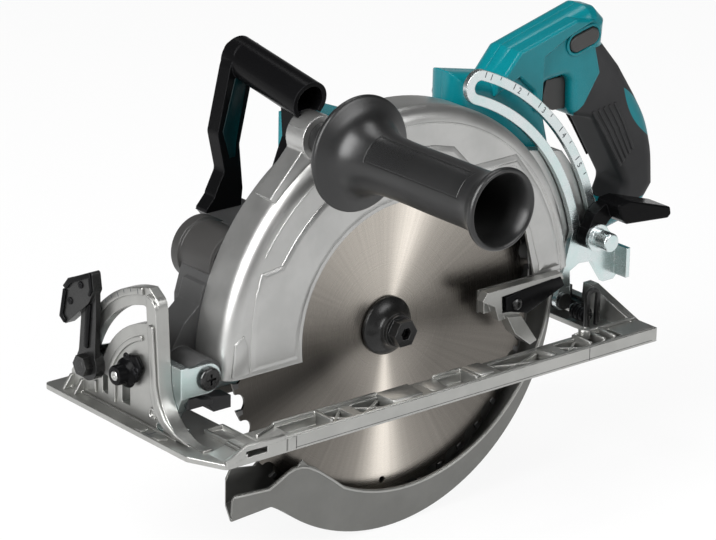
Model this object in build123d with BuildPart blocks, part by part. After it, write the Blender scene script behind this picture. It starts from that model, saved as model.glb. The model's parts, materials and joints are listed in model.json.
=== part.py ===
from build123d import *
from math import cos, radians, sin
import os

os.makedirs("parts", exist_ok=True)

# Rear handle circular saw, in millimetres
# X runs forward, Y towards the blade side, Z up; the sole lies on Z = 0 under the arbor

# Driving sizes of the blade and its clamp
blade_diameter = 260.0
blade_thickness = 1.8
blade_bore = 30.0
tooth_count = 40
gullet_depth = 8.0
flange_diameter = 43.0
arbor_height = 34.0

# Driving sizes of the guards, set off from the blade
guard_centre = (-6.0, 35.0)
guard_room = 22.0
guard_radius = blade_diameter / 2 + guard_room
guard_wall = 2.5
guard_left = 15.0
guard_right = -17.5
guard_round = 11.0
guard_edge_z = 31.0
lower_guard_room = 13.0
lower_guard_radius = blade_diameter / 2 + lower_guard_room
lower_guard_half_width = 11.0
lower_guard_wall = 1.5

# Driving places of the hinges, set off from the guard
bevel_axis_z = 6.0
bevel_range = 50.0
bevel_slot_range = 59.0
pivot_reach = 12.0
pivot_height = 37.0
depth_pivot = (guard_centre[0] + guard_radius + pivot_reach, pivot_height)
depth_range = 25.0
guide_reach = 10.0
guide_height = 12.0
guide_pivot = (guard_centre[0] - guard_radius - guide_reach, guide_height)
guide_ratio = 0.79
clamp_reach = 30.0
clamp_height = 58.0
clamp_point = (guard_centre[0] - guard_radius - clamp_reach, clamp_height)

# Driving sizes of the base, its ends set off from the hinges
base_nose = 41.0
base_tail = 20.0
base_front = depth_pivot[0] + base_nose
base_rear = guide_pivot[0] - base_tail
base_left = 70.0
base_right = -113.0
sole_thickness = 3.5
rail_width = 22.0
rail_height = 10.0
opening_margin = 8.0
opening_front = depth_pivot[0] - opening_margin
opening_rear = guide_pivot[0] + opening_margin
opening_right = -32.0

# Driving sizes of the drive
gear_module = 1.25
gear_teeth = 36
pinion_teeth = 10
motor_angle = 125.0
gear_case_right = -54.0
motor_radius = 42.0
motor_right = -115.0

# Driving sizes of the handles
handle_plane = -40.0
handle_width = 34.0
grip_skin = 3.0
side_grip_angle = 63.9
side_grip_rise = 9.45
side_grip_end = 186.0
front_bar_radius = 13.5

# Clearances
running = 0.05
gap = 0.3
slide_gap = 0.5

# Places worked out from the driving sizes
blade_radius = blade_diameter / 2
flange_radius = flange_diameter / 2
gear_radius = gear_module * gear_teeth / 2
pinion_radius = gear_module * pinion_teeth / 2
gear_distance = gear_radius + pinion_radius
motor_x = gear_distance * cos(radians(motor_angle))
motor_z = arbor_height + gear_distance * sin(radians(motor_angle))
rail_inner = base_left - rail_width
blade_left = blade_thickness / 2
blade_right = -blade_thickness / 2
handle_left_y = handle_plane + handle_width / 2
handle_right_y = handle_plane - handle_width / 2


def side(y):
    """Sketch plane at a Y place: sketch x is X, sketch y is Z, extrusion goes towards -Y."""
    return Plane.XZ.offset(-y)


def front(x):
    """Sketch plane at an X place: sketch x is Y, sketch y is Z, extrusion goes towards +X."""
    return Plane.YZ.offset(x)


def polar(centre, radius, angle):
    """Point on a circle in a sketch plane."""
    return (centre[0] + radius * cos(radians(angle)), centre[1] + radius * sin(radians(angle)))


def rod_y(x, z, radius, y_left, y_right, mode=Mode.ADD):
    """Round bar along Y."""
    with BuildSketch(side(y_left)) as face:
        with Locations((x, z)):
            Circle(radius)
    extrude(face.sketch, amount=y_left - y_right, mode=mode)


def rod_x(y, z, radius, x_rear, x_front, mode=Mode.ADD):
    """Round bar along X."""
    with BuildSketch(front(x_rear)) as face:
        with Locations((y, z)):
            Circle(radius)
    extrude(face.sketch, amount=x_front - x_rear, mode=mode)


def plate_y(points, y_left, y_right, corner=0.0, mode=Mode.ADD):
    """Flat plate square to Y with an outline of (x, z) points."""
    with BuildSketch(side(y_left)) as outline:
        with BuildLine():
            Polyline(*points, close=True)
        make_face()
        if corner:
            fillet(outline.vertices(), corner)
    extrude(outline.sketch, amount=y_left - y_right, mode=mode)


def plate_x(points, x_rear, x_front, corner=0.0, mode=Mode.ADD):
    """Flat plate square to X with an outline of (y, z) points."""
    with BuildSketch(front(x_rear)) as outline:
        with BuildLine():
            Polyline(*points, close=True)
        make_face()
        if corner:
            fillet(outline.vertices(), corner)
    extrude(outline.sketch, amount=x_front - x_rear, mode=mode)


def block(x_range, y_range, z_range, mode=Mode.ADD):
    """Box between two corners."""
    centre = [(low + high) / 2 for low, high in (x_range, y_range, z_range)]
    sizes = [high - low for low, high in (x_range, y_range, z_range)]
    with Locations(tuple(centre)):
        Box(*sizes, mode=mode)


def turn_y(x, z, points, mode=Mode.ADD):
    """Turned piece about a line along Y, from (radius, y) points."""
    with BuildSketch(Plane((x, 0, z), x_dir=(1, 0, 0), z_dir=(0, 0, 1))) as face:
        with BuildLine():
            Polyline(*points, close=True)
        make_face()
    revolve(face.sketch, axis=Axis((x, 0, z), (0, 1, 0)), mode=mode)


def ring_y(x, z, outer, inner, y_left, y_right):
    """Plain ring about a line along Y."""
    rod_y(x, z, outer, y_left, y_right)
    rod_y(x, z, inner, y_left, y_right, mode=Mode.SUBTRACT)


def toothed_wheel(x, z, teeth, y_left, y_right, phase):
    """Spur wheel with straight flanks, thinned so that it runs with play."""
    pitch_radius = gear_module * teeth / 2
    root = pitch_radius - 1.2 * gear_module
    tip = pitch_radius + 0.8 * gear_module
    step = 360.0 / teeth
    with BuildSketch(side(y_left)) as face:
        with BuildLine():
            corners = []
            for tooth in range(teeth):
                middle = phase + tooth * step
                corners.append(polar((x, z), root, middle - 0.30 * step))
                corners.append(polar((x, z), tip, middle - 0.10 * step))
                corners.append(polar((x, z), tip, middle + 0.10 * step))
                corners.append(polar((x, z), root, middle + 0.30 * step))
            Polyline(*corners, close=True)
        make_face()
    extrude(face.sketch, amount=y_left - y_right)


# Saw blade
arbor = (0.0, arbor_height)
tooth_step = 360.0 / tooth_count
stress_hole_radius = 2.5
stress_hole_circle = blade_radius - 17.0
with BuildPart() as blade:
    with BuildSketch(side(blade_left)):
        with BuildLine():
            for tooth in range(tooth_count):
                start = tooth * tooth_step
                heel = polar(arbor, blade_radius - 0.2 * gullet_depth, start)
                tip = polar(arbor, blade_radius, start + 0.42 * tooth_step)
                face_foot = polar(arbor, blade_radius - 0.6 * gullet_depth, start + 0.36 * tooth_step)
                floor = polar(arbor, blade_radius - gullet_depth, start + 0.62 * tooth_step)
                next_heel = polar(arbor, blade_radius - 0.2 * gullet_depth, start + tooth_step)
                Line(heel, tip)
                Line(tip, face_foot)
                ThreePointArc(face_foot, floor, next_heel)
        make_face()
        with Locations(arbor):
            Circle(blade_bore / 2, mode=Mode.SUBTRACT)
            with PolarLocations(stress_hole_circle, 4):
                Circle(stress_hole_radius, mode=Mode.SUBTRACT)
    extrude(amount=blade_thickness)
blade.part.label = "blade"
export_step(blade.part, "parts/blade.step")

# Spindle, flanges and blade bolt
spindle_radius = 8.0
spindle_tail_radius = 6.0
bolt_radius = 5.0
inner_flange_left = blade_right
inner_flange_right = blade_right - 6.0
outer_flange_face = blade_left + 12.0
gear_left = -31.0
gear_right = -41.0
spindle_right = -52.0
bolt_depth = 20.0
with BuildPart() as spindle:
    rod_y(0, arbor_height, spindle_radius, blade_right, gear_right)
    rod_y(0, arbor_height, spindle_tail_radius, gear_right, spindle_right)
    rod_y(0, arbor_height, bolt_radius, blade_right, blade_right - bolt_depth, mode=Mode.SUBTRACT)
spindle.part.label = "spindle"
export_step(spindle.part, "parts/spindle.step")

with BuildPart() as inner_flange:
    rod_y(0, arbor_height, flange_radius, inner_flange_left, inner_flange_right)
    rod_y(0, arbor_height, blade_bore / 2, blade_left - 0.3, inner_flange_left)
    rod_y(0, arbor_height, flange_radius - 6, inner_flange_right + 2, inner_flange_right, mode=Mode.SUBTRACT)
    rod_y(0, arbor_height, spindle_radius, blade_right, inner_flange_right, mode=Mode.SUBTRACT)
    rod_y(0, arbor_height, bolt_radius + 0.2, blade_left, blade_right, mode=Mode.SUBTRACT)
inner_flange.part.label = "inner_flange"
export_step(inner_flange.part, "parts/inner_flange.step")

with BuildPart() as outer_flange:
    turn_y(0, arbor_height, [
        (bolt_radius + 0.2, blade_left), (flange_radius - 4, blade_left), (flange_radius, blade_left + 4),
        (flange_radius, outer_flange_face - 3), (flange_radius - 2, outer_flange_face - 1.2),
        (flange_radius - 6, outer_flange_face - 1.2), (flange_radius - 7.5, outer_flange_face - 2.6),
        (13.0, outer_flange_face - 2.6), (12.0, outer_flange_face), (bolt_radius + 0.2, outer_flange_face)])
outer_flange.part.label = "outer_flange"
export_step(outer_flange.part, "parts/outer_flange.step")

bolt_head_face = outer_flange_face + 10.0
bolt_washer = 2.5
with BuildPart() as blade_bolt:
    rod_y(0, arbor_height, 11.0, outer_flange_face + bolt_washer, outer_flange_face)
    with BuildSketch(side(bolt_head_face)):
        with Locations(arbor):
            RegularPolygon(8.5, 6, major_radius=False)
    extrude(amount=bolt_head_face - outer_flange_face - bolt_washer)
    rod_y(0, arbor_height, bolt_radius - 0.02, outer_flange_face, blade_right - bolt_depth + 1)
    with BuildSketch(side(bolt_head_face)):
        with Locations(arbor):
            RegularPolygon(4.0, 6, major_radius=False)
    extrude(amount=6.0, mode=Mode.SUBTRACT)
blade_bolt.part.label = "blade_bolt"
export_step(blade_bolt.part, "parts/blade_bolt.step")

with BuildPart() as drive_gear:
    toothed_wheel(0, arbor_height, gear_teeth, gear_left, gear_right, motor_angle)
    rod_y(0, arbor_height, spindle_radius, gear_left, gear_right, mode=Mode.SUBTRACT)
drive_gear.part.label = "drive_gear"
export_step(drive_gear.part, "parts/drive_gear.step")

# Rotor with its pinion and fan
rotor_shaft_radius = 5.0
rotor_tail_radius = 4.0
pinion_end = gear_left + 0.5
rotor_core_left = -66.0
rotor_core_right = -104.0
rotor_radius = 20.0
fan_left = -57.5
fan_right = -64.0
fan_radius = 34.0
fan_blades = 9
rotor_right = motor_right - 8.0
with BuildPart() as rotor_shaft:
    rod_y(motor_x, motor_z, rotor_shaft_radius, gear_right - 1.5, motor_right + 2)
    rod_y(motor_x, motor_z, rotor_tail_radius, motor_right + 2, rotor_right)
rotor_shaft.part.label = "rotor_shaft"
export_step(rotor_shaft.part, "parts/rotor_shaft.step")

with BuildPart() as pinion:
    toothed_wheel(motor_x, motor_z, pinion_teeth, pinion_end, gear_right - 1.5,
                  motor_angle + 180.0 + 180.0 / pinion_teeth)
pinion.part.label = "pinion"
export_step(pinion.part, "parts/pinion.step")

with BuildPart() as rotor_core:
    ring_y(motor_x, motor_z, rotor_radius, rotor_shaft_radius, rotor_core_left, rotor_core_right)
rotor_core.part.label = "rotor_core"
export_step(rotor_core.part, "parts/rotor_core.step")

with BuildPart() as cooling_fan:
    rod_y(motor_x, motor_z, fan_radius, fan_right + 1.5, fan_right)
    rod_y(motor_x, motor_z, 12.0, fan_left, fan_right)
    with BuildSketch(side(fan_left)):
        with Locations((motor_x, motor_z)):
            with PolarLocations(22.0, fan_blades):
                Rectangle(22.0, 1.6)
    extrude(amount=fan_left - fan_right)
    rod_y(motor_x, motor_z, rotor_shaft_radius, fan_left, fan_right, mode=Mode.SUBTRACT)
cooling_fan.part.label = "cooling_fan"
export_step(cooling_fan.part, "parts/cooling_fan.step")

# Bearings
spindle_bearing_radius = 17.5
spindle_bearing_left = guard_right + 1.5
spindle_bearing_right = -29.0
tail_bearing_radius = 13.0
tail_bearing_left = -43.5
rotor_bearing_radius = 11.0
rotor_bearing_left = -47.0
end_bearing_radius = 9.0
with BuildPart() as spindle_bearing:
    ring_y(0, arbor_height, spindle_bearing_radius, spindle_radius + running,
           spindle_bearing_left, spindle_bearing_right)
spindle_bearing.part.label = "spindle_bearing"
export_step(spindle_bearing.part, "parts/spindle_bearing.step")

with BuildPart() as spindle_tail_bearing:
    ring_y(0, arbor_height, tail_bearing_radius, spindle_tail_radius + running,
           tail_bearing_left, spindle_right)
spindle_tail_bearing.part.label = "spindle_tail_bearing"
export_step(spindle_tail_bearing.part, "parts/spindle_tail_bearing.step")

with BuildPart() as rotor_bearing:
    ring_y(motor_x, motor_z, rotor_bearing_radius, rotor_shaft_radius + running,
           rotor_bearing_left, gear_case_right)
rotor_bearing.part.label = "rotor_bearing"
export_step(rotor_bearing.part, "parts/rotor_bearing.step")

with BuildPart() as rotor_end_bearing:
    ring_y(motor_x, motor_z, end_bearing_radius, rotor_tail_radius + running,
           motor_right, motor_right - 7.0)
rotor_end_bearing.part.label = "rotor_end_bearing"
export_step(rotor_end_bearing.part, "parts/rotor_end_bearing.step")

# Bearing retainer, which also carries the lower guard
retainer_flange_radius = 38.0
guard_hub_bore = 25.0
guard_hub_radius = 33.0
retainer_left = inner_flange_right - 1.8
with BuildPart() as bearing_retainer:
    rod_y(0, arbor_height, retainer_flange_radius, guard_right + guard_wall, guard_right)
    rod_y(0, arbor_height, guard_hub_bore - running, retainer_left, guard_right)
    rod_y(0, arbor_height, spindle_bearing_radius, spindle_bearing_left, guard_right, mode=Mode.SUBTRACT)
    rod_y(0, arbor_height, spindle_radius + 1.5, retainer_left, guard_right, mode=Mode.SUBTRACT)
bearing_retainer.part.label = "bearing_retainer"
export_step(bearing_retainer.part, "parts/bearing_retainer.step")

with BuildPart() as guard_spring:
    ring_y(0, arbor_height, guard_hub_radius + 4.5, guard_hub_radius + 1.0,
           guard_right + guard_wall + 3.0, guard_right + guard_wall)
guard_spring.part.label = "guard_spring"
export_step(guard_spring.part, "parts/guard_spring.step")

# Upper guard: a turned shell with a C shaped window, a grip boss and the clamp arm
boss_radius = 15.5
boss_left = 10.0
boss_right = -7.7
stud_radius = 5.0
side_grip_axis = polar(guard_centre, guard_radius + side_grip_rise, side_grip_angle)
guard_top = guard_centre[1] + guard_radius
dust_port_axis = polar(guard_centre, guard_radius - 16.5, 27.7)
dust_port_radius = 20.5
dust_port_ring = 22.0
dust_port_bore = 17.5
dust_hole_radius = 12.0
lobe_edge_z = 46.0
arm_left = -9.5
arm_right = -20.0
clamp_bolt_radius = 4.0
window_radius = 83.0
window_centre = (0.0, 42.0)
window_rim = 36.0
window_tail = guard_centre[0] - guard_radius + window_rim
grip_x = side_grip_axis[0]
grip_z = side_grip_axis[1]


def guard_shell(inset, mode):
    """Round shell body of the upper guard, inset by a wall thickness."""
    radius = guard_radius - inset
    left = guard_left - inset
    right = guard_right + inset
    round_in = guard_round - inset
    with BuildSketch(Plane((guard_centre[0], 0, guard_centre[1]), x_dir=(1, 0, 0), z_dir=(0, 0, 1))) as face:
        with BuildLine():
            Line((0, right), (radius, right))
            Line((radius, right), (radius, left - round_in))
            ThreePointArc((radius, left - round_in),
                          (radius - round_in * (1 - cos(radians(45))),
                           left - round_in * (1 - sin(radians(45)))),
                          (radius - round_in, left))
            Line((radius - round_in, left), (0, left))
            Line((0, left), (0, right))
        make_face()
    revolve(face.sketch, axis=Axis((guard_centre[0], 0, guard_centre[1]), (0, 1, 0)), mode=mode)


with BuildPart() as upper_guard:
    guard_shell(0.0, Mode.ADD)
    rod_y(*side_grip_axis, boss_radius, boss_left, boss_right)
    plate_y([(grip_x - 9, grip_z - 10), (grip_x + 13.5, grip_z + 8), (grip_x + 14.5, grip_z - 7),
             (grip_x + 40, grip_z - 34), (grip_x + 26, grip_z - 44), (grip_x + 12, grip_z - 35)],
            boss_left - 2, boss_right)
    plate_y([polar(guard_centre, guard_radius - 5.3, 138.6), (clamp_point[0] + 22, clamp_point[1] + 64),
             (clamp_point[0] - 12, clamp_point[1] + 22), (clamp_point[0] - 16, clamp_point[1] - 5),
             (clamp_point[0] - 4, clamp_point[1] - 14), (clamp_point[0] + 11, clamp_point[1] - 12),
             (clamp_point[0] + 28, clamp_point[1] + 18), polar(guard_centre, guard_radius - 10, 150.9)],
            arm_left, arm_right)
    guard_shell(guard_wall, Mode.SUBTRACT)
    block((-2 * guard_radius, 2 * guard_radius), (-60, 60), (-2 * guard_radius, guard_edge_z),
          mode=Mode.SUBTRACT)
    rod_y(*window_centre, window_radius, guard_left + 1, 5.0, mode=Mode.SUBTRACT)
    plate_y([(0, 20), (window_tail, 20), (window_tail, lobe_edge_z),
             polar(guard_centre, guard_radius - window_rim, 157),
             polar(guard_centre, guard_radius - window_rim, 138), (-20, 124), (0, 110)],
            guard_left + 1, 5.0, corner=6.0, mode=Mode.SUBTRACT)
    block((-2 * guard_radius, window_tail + 12), (2, 40), (0, lobe_edge_z), mode=Mode.SUBTRACT)
    rod_y(0, arbor_height, retainer_flange_radius, 0, guard_right - 1, mode=Mode.SUBTRACT)
    rod_y(*dust_port_axis, dust_hole_radius, -5, guard_right - 1, mode=Mode.SUBTRACT)
    rod_y(*side_grip_axis, stud_radius, boss_left, boss_right, mode=Mode.SUBTRACT)
    rod_y(*clamp_point, clamp_bolt_radius, arm_left, arm_right, mode=Mode.SUBTRACT)
upper_guard.part.label = "upper_guard"
export_step(upper_guard.part, "parts/upper_guard.step")

# Gear case with the front block and the depth pivot boss
gear_case_radius = 27.0
motor_seat_radius = 40.0
pivot_boss_radius = 12.5
pivot_pin_radius = 5.0
ear_inner = 9.8
pivot_boss_right = -40.0
handle_seat_z = 115.0
handle_seat_right = -79.0
seat_rear = grip_x - 3
seat_front = grip_x + 43
with BuildPart() as gear_case:
    rod_y(0, arbor_height, gear_case_radius, guard_right, gear_case_right)
    rod_y(motor_x, motor_z, motor_seat_radius, guard_right, gear_case_right)
    plate_y([(10, 16), (24, 90), (seat_rear - 2, 97), (seat_rear, handle_seat_z),
             (seat_front - 4, handle_seat_z),
             (depth_pivot[0] - 26, 100), (depth_pivot[0] - 18, 74), (depth_pivot[0] - 18, 58),
             (depth_pivot[0] - 38, 38), (70, 34)], guard_right, gear_case_right + 6)
    plate_y([(depth_pivot[0] - 48, 96), (depth_pivot[0] - 19, 87), (depth_pivot[0] - 15, 74),
             (depth_pivot[0] - 3, depth_pivot[1] + 27), (depth_pivot[0] + 7, depth_pivot[1] + 11),
             (depth_pivot[0] + 5, depth_pivot[1] - 9), (depth_pivot[0] - 38, depth_pivot[1] + 1)],
            guard_right, pivot_boss_right)
    plate_y([(seat_rear, 80), (seat_rear, handle_seat_z), (seat_front, handle_seat_z), (seat_front + 4, 84)],
            gear_case_right + 6, handle_seat_right)
    rod_y(*depth_pivot, pivot_boss_radius, ear_inner - gap, pivot_boss_right)
    rod_y(*guard_centre, guard_radius + 0.1, ear_inner, guard_right, mode=Mode.SUBTRACT)
    rod_y(*depth_pivot, pivot_pin_radius + running, ear_inner, -60, mode=Mode.SUBTRACT)
    rod_y(0, arbor_height, gear_radius + 1.8, spindle_bearing_right, tail_bearing_left, mode=Mode.SUBTRACT)
    rod_y(motor_x, motor_z, pinion_radius + 2.0, spindle_bearing_right, gear_case_right, mode=Mode.SUBTRACT)
    rod_y(0, arbor_height, spindle_bearing_radius, guard_right, spindle_bearing_right, mode=Mode.SUBTRACT)
    rod_y(0, arbor_height, tail_bearing_radius, tail_bearing_left, spindle_right, mode=Mode.SUBTRACT)
    rod_y(motor_x, motor_z, rotor_bearing_radius, rotor_bearing_left, gear_case_right, mode=Mode.SUBTRACT)
    rod_y(*dust_port_axis, dust_port_radius, guard_right, -120, mode=Mode.SUBTRACT)
    rod_y(*dust_port_axis, dust_port_ring + gap, gear_case_right + 6, -120, mode=Mode.SUBTRACT)
gear_case.part.label = "gear_case"
export_step(gear_case.part, "parts/gear_case.step")

# Dust port
dust_port_right = -57.0
with BuildPart() as dust_port:
    turn_y(*dust_port_axis, [
        (dust_port_bore, guard_right), (dust_port_radius, guard_right),
        (dust_port_radius, dust_port_right + 8),
        (dust_port_ring, dust_port_right + 7), (dust_port_ring, dust_port_right),
        (dust_port_bore, dust_port_right)])
dust_port.part.label = "dust_port"
export_step(dust_port.part, "parts/dust_port.step")

# Motor housing with the controller bay, end cap and stator
bay_front = 10.0
nose_front = 45.0
bay_rear = -68.0
bay_top = 165.0
nose_top = 180.0
bay_left = -24.0
bay_right = -92.0
bay_floor = 99.0
housing_wall = 3.0
stator_inner = rotor_radius + 0.6
with BuildPart() as motor_housing:
    plate_x([(bay_left, bay_floor), (bay_left, bay_top), (-60, bay_top - 5), (bay_right, bay_top - 25),
             (bay_right, bay_floor)], bay_rear, bay_front)
    plate_x([(bay_left, bay_floor + 30), (bay_left, nose_top), (-60, nose_top - 3), (-60, bay_floor + 30)],
            bay_front, nose_front)
    fillet(motor_housing.edges().filter_by(Axis.X).group_by(Axis.Z)[-1], 5)
    rod_y(motor_x, motor_z, motor_radius, gear_case_right, motor_right)
    rod_y(motor_x, motor_z, motor_radius - housing_wall, gear_case_right, motor_right, mode=Mode.SUBTRACT)
    block((bay_rear, bay_front - 5), (bay_right + 5, bay_left - 4), (bay_floor + 6, bay_top - 28),
          mode=Mode.SUBTRACT)
motor_housing.part.label = "motor_housing"
export_step(motor_housing.part, "parts/motor_housing.step")

with BuildPart() as stator:
    ring_y(motor_x, motor_z, motor_radius - housing_wall, stator_inner, rotor_core_left, rotor_core_right)
    with BuildSketch(side(rotor_core_left)):
        with Locations((motor_x, motor_z)):
            with PolarLocations(stator_inner + 6.0, 6):
                Rectangle(8.0, 5.0)
    extrude(amount=rotor_core_left - rotor_core_right, mode=Mode.SUBTRACT)
stator.part.label = "stator"
export_step(stator.part, "parts/stator.step")

vent_count = 12
with BuildPart() as motor_end_cap:
    rod_y(motor_x, motor_z, motor_radius, motor_right, motor_right - 13)
    fillet(motor_end_cap.faces().sort_by(Axis.Y)[0].edges(), 5)
    rod_y(motor_x, motor_z, end_bearing_radius, motor_right, motor_right - 7, mode=Mode.SUBTRACT)
    rod_y(motor_x, motor_z, rotor_tail_radius + 1, motor_right, motor_right - 9, mode=Mode.SUBTRACT)
    with BuildSketch(side(motor_right)):
        with Locations((motor_x, motor_z)):
            with PolarLocations(24.0, vent_count):
                SlotOverall(18.0, 4.0)
    extrude(amount=13, mode=Mode.SUBTRACT)
motor_end_cap.part.label = "motor_end_cap"
export_step(motor_end_cap.part, "parts/motor_end_cap.step")

with BuildPart() as controller:
    block((bay_rear + 4, bay_front - 8), (bay_right + 8, bay_left - 8), (bay_floor + 6, bay_floor + 26))
    with BuildSketch(Plane.XY.offset(bay_floor + 26)):
        with Locations(((bay_front + bay_rear) / 2, (bay_left + bay_right) / 2)):
            with GridLocations(8.0, 0, 8, 1):
                Rectangle(2.0, 44.0)
    extrude(amount=9)
controller.part.label = "controller"
export_step(controller.part, "parts/controller.step")

# Rear handle: two shells, a rubber skin round the grip, trigger, button and switch
handle_outline = [(bay_rear, 76), (bay_rear, 150), (-80, 165), (-80, 188.5), (-119, 180.5), (-133, 196.5),
                  (-203, 215.5), (-211.5, 213.5), (-220.5, 204.5), (-219, 188), (-237, 167.5),
                  (-253, 144), (-266, 123),
                  (-273, 98), (-275, 72), (-258, 50), (-216, 42), (-120, 58)]
finger_gap = [(-156, 168), (-186, 170), (-187, 139), (-210, 133), (-243, 78), (-236, 63), (-198, 62),
              (-172, 108)]
grip_zone = [(-330, 186), (-222, 186), (-207, 186), (-212, 167), (-198, 146), (-190, 141), (-203, 122),
             (-226, 80),
             (-222, 64), (-262, 66), (-330, 80)]
shoulder_outline = [(-112, 168), (-112, 178), (-121, 182.2), (-134, 196), (-163, 203.8), (-186, 210),
                    (-204, 207),
                    (-180, 199), (-157.5, 188), (-157, 172), (-156, 150), (-150.5, 150), (-148, 165),
                    (-134, 177.5),
                    (-125, 174)]
shoulder_left = -19.5
outline_round = 13.0
palm_round = 80.0
palm_front = -240.0
palm_low = 80.0
palm_high = 165.0
gap_round = 8.0
gap_edge_round = 6.0
edge_round = 12.5
trigger_low = 144.0
trigger_high = 167.0
trigger_half = 9.0
switch_front = -222.0
switch_rear = -237.0
switch_half = 11.5
button_place = (-195.0, 194.0)
button_length = 27.0
button_width = 12.0
button_tilt = -13.5


def handle_loop(inset, y_left, y_right):
    """Handle loop, inset on its outline, between two Y places."""
    with BuildSketch(side(y_left)) as loop:
        with BuildLine():
            Polyline(*handle_outline, close=True)
        make_face()
        palm = [v for v in loop.vertices() if v.X < palm_front and palm_low < v.Y < palm_high]
        ends = [v for v in loop.vertices() if v not in palm]
        fillet(palm, palm_round)
        fillet(ends, outline_round)
        if inset:
            offset(amount=-inset)
    extrude(loop.sketch, amount=y_left - y_right)


def handle_gap(inset, y_left, y_right):
    """Finger opening of the handle loop, widened by an inset."""
    with BuildSketch(side(y_left)) as hole:
        with BuildLine():
            Polyline(*finger_gap, close=True)
        make_face()
        fillet(hole.vertices(), gap_round)
        if inset:
            offset(amount=inset)
    extrude(hole.sketch, amount=y_left - y_right, mode=Mode.SUBTRACT)


with BuildPart() as handle_body:
    handle_loop(0.0, handle_left_y, handle_right_y)
    fillet(handle_body.faces().sort_by(Axis.Y)[-1].outer_wire().edges(), edge_round)
    fillet(handle_body.faces().sort_by(Axis.Y)[0].outer_wire().edges(), edge_round)
    handle_gap(0.0, handle_left_y, handle_right_y)
    fillet(handle_body.faces().sort_by(Axis.Y)[-1].inner_wires()[0].edges(), gap_edge_round)
    fillet(handle_body.faces().sort_by(Axis.Y)[0].inner_wires()[0].edges(), gap_edge_round)

with BuildPart() as handle_core:
    handle_loop(grip_skin, handle_left_y - grip_skin, handle_right_y + grip_skin)
    fillet(handle_core.faces().sort_by(Axis.Y)[-1].outer_wire().edges(), edge_round - grip_skin)
    fillet(handle_core.faces().sort_by(Axis.Y)[0].outer_wire().edges(), edge_round - grip_skin)
    handle_gap(grip_skin, handle_left_y - grip_skin, handle_right_y + grip_skin)
    fillet(handle_core.faces().sort_by(Axis.Y)[-1].inner_wires()[0].edges(), gap_edge_round - grip_skin)
    fillet(handle_core.faces().sort_by(Axis.Y)[0].inner_wires()[0].edges(), gap_edge_round - grip_skin)

with BuildPart() as zone:
    plate_y(grip_zone, handle_left_y + 1, handle_right_y - 1)

with BuildPart() as grip_skin_piece:
    add(handle_body.part)
    add(zone.part, mode=Mode.INTERSECT)
    add(handle_core.part, mode=Mode.SUBTRACT)
grip_skin_piece.part.label = "grip_skin"
export_step(grip_skin_piece.part, "parts/grip_skin.step")

with BuildPart() as handle_pair:
    add(handle_body.part)
    add(grip_skin_piece.part, mode=Mode.SUBTRACT)
    block((switch_front, -160),
          (handle_plane - trigger_half - slide_gap, handle_plane + trigger_half + slide_gap),
          (trigger_low - slide_gap, trigger_high + slide_gap), mode=Mode.SUBTRACT)
    block((switch_rear, switch_front), (handle_plane - switch_half, handle_plane + switch_half),
          (trigger_low - 10, trigger_high - 7), mode=Mode.SUBTRACT)
    with BuildSketch(side(handle_left_y + 1)):
        with Locations(button_place):
            SlotOverall(button_length + 2 * slide_gap, button_width + 2 * slide_gap, rotation=button_tilt)
    extrude(amount=handle_width + 2, mode=Mode.SUBTRACT)

# Shoulder on the left of the handle head
with BuildPart() as shoulder:
    plate_y(shoulder_outline, shoulder_left, handle_plane + 4)
    chamfer(shoulder.faces().sort_by(Axis.Y)[-1].edges(), 1.5)

with BuildPart() as handle_left:
    add(handle_pair.part)
    split(bisect_by=side(handle_plane), keep=Keep.BOTTOM)
    add(shoulder.part)
handle_left.part.label = "handle_left"
export_step(handle_left.part, "parts/handle_left.step")

with BuildPart() as handle_right:
    add(handle_pair.part)
    split(bisect_by=side(handle_plane), keep=Keep.TOP)
handle_right.part.label = "handle_right"
export_step(handle_right.part, "parts/handle_right.step")

with BuildPart() as trigger:
    plate_y([(-168, trigger_low + 3), (-166, trigger_low + 12), (-169, trigger_high), (-215, trigger_high),
             (-215, trigger_low), (-176, trigger_low)], handle_plane + trigger_half,
             handle_plane - trigger_half)
    fillet(trigger.edges().filter_by(Axis.Z).group_by(Axis.X)[-1], 2)
trigger.part.label = "trigger"
export_step(trigger.part, "parts/trigger.step")

with BuildPart() as switch_unit:
    block((switch_rear + slide_gap, switch_front - slide_gap),
          (handle_plane - switch_half + slide_gap, handle_plane + switch_half - slide_gap),
          (trigger_low - 9.5, trigger_high - 7.5))
switch_unit.part.label = "switch_unit"
export_step(switch_unit.part, "parts/switch_unit.step")

button_proud = 2.5
with BuildPart() as lock_off_button:
    with BuildSketch(side(handle_left_y + button_proud)):
        with Locations(button_place):
            SlotOverall(button_length, button_width, rotation=button_tilt)
    extrude(amount=handle_width + 2 * button_proud)
    fillet(lock_off_button.faces().sort_by(Axis.Y)[-1].edges(), 1.5)
    fillet(lock_off_button.faces().sort_by(Axis.Y)[0].edges(), 1.5)
lock_off_button.part.label = "lock_off_button"
export_step(lock_off_button.part, "parts/lock_off_button.step")

# Battery seat on the right of the handle
with BuildPart() as battery_seat:
    block((-158, -76), (handle_right_y - 8, handle_right_y), (82, 150))
    for rail_z in (84.5, 147.5):
        block((-158, -76), (handle_right_y - 14, handle_right_y - 8), (rail_z - 2.5, rail_z + 2.5))
    block((-150, -84), (handle_right_y - 12, handle_right_y - 8), (112, 120))
battery_seat.part.label = "battery_seat"
export_step(battery_seat.part, "parts/battery_seat.step")

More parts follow.
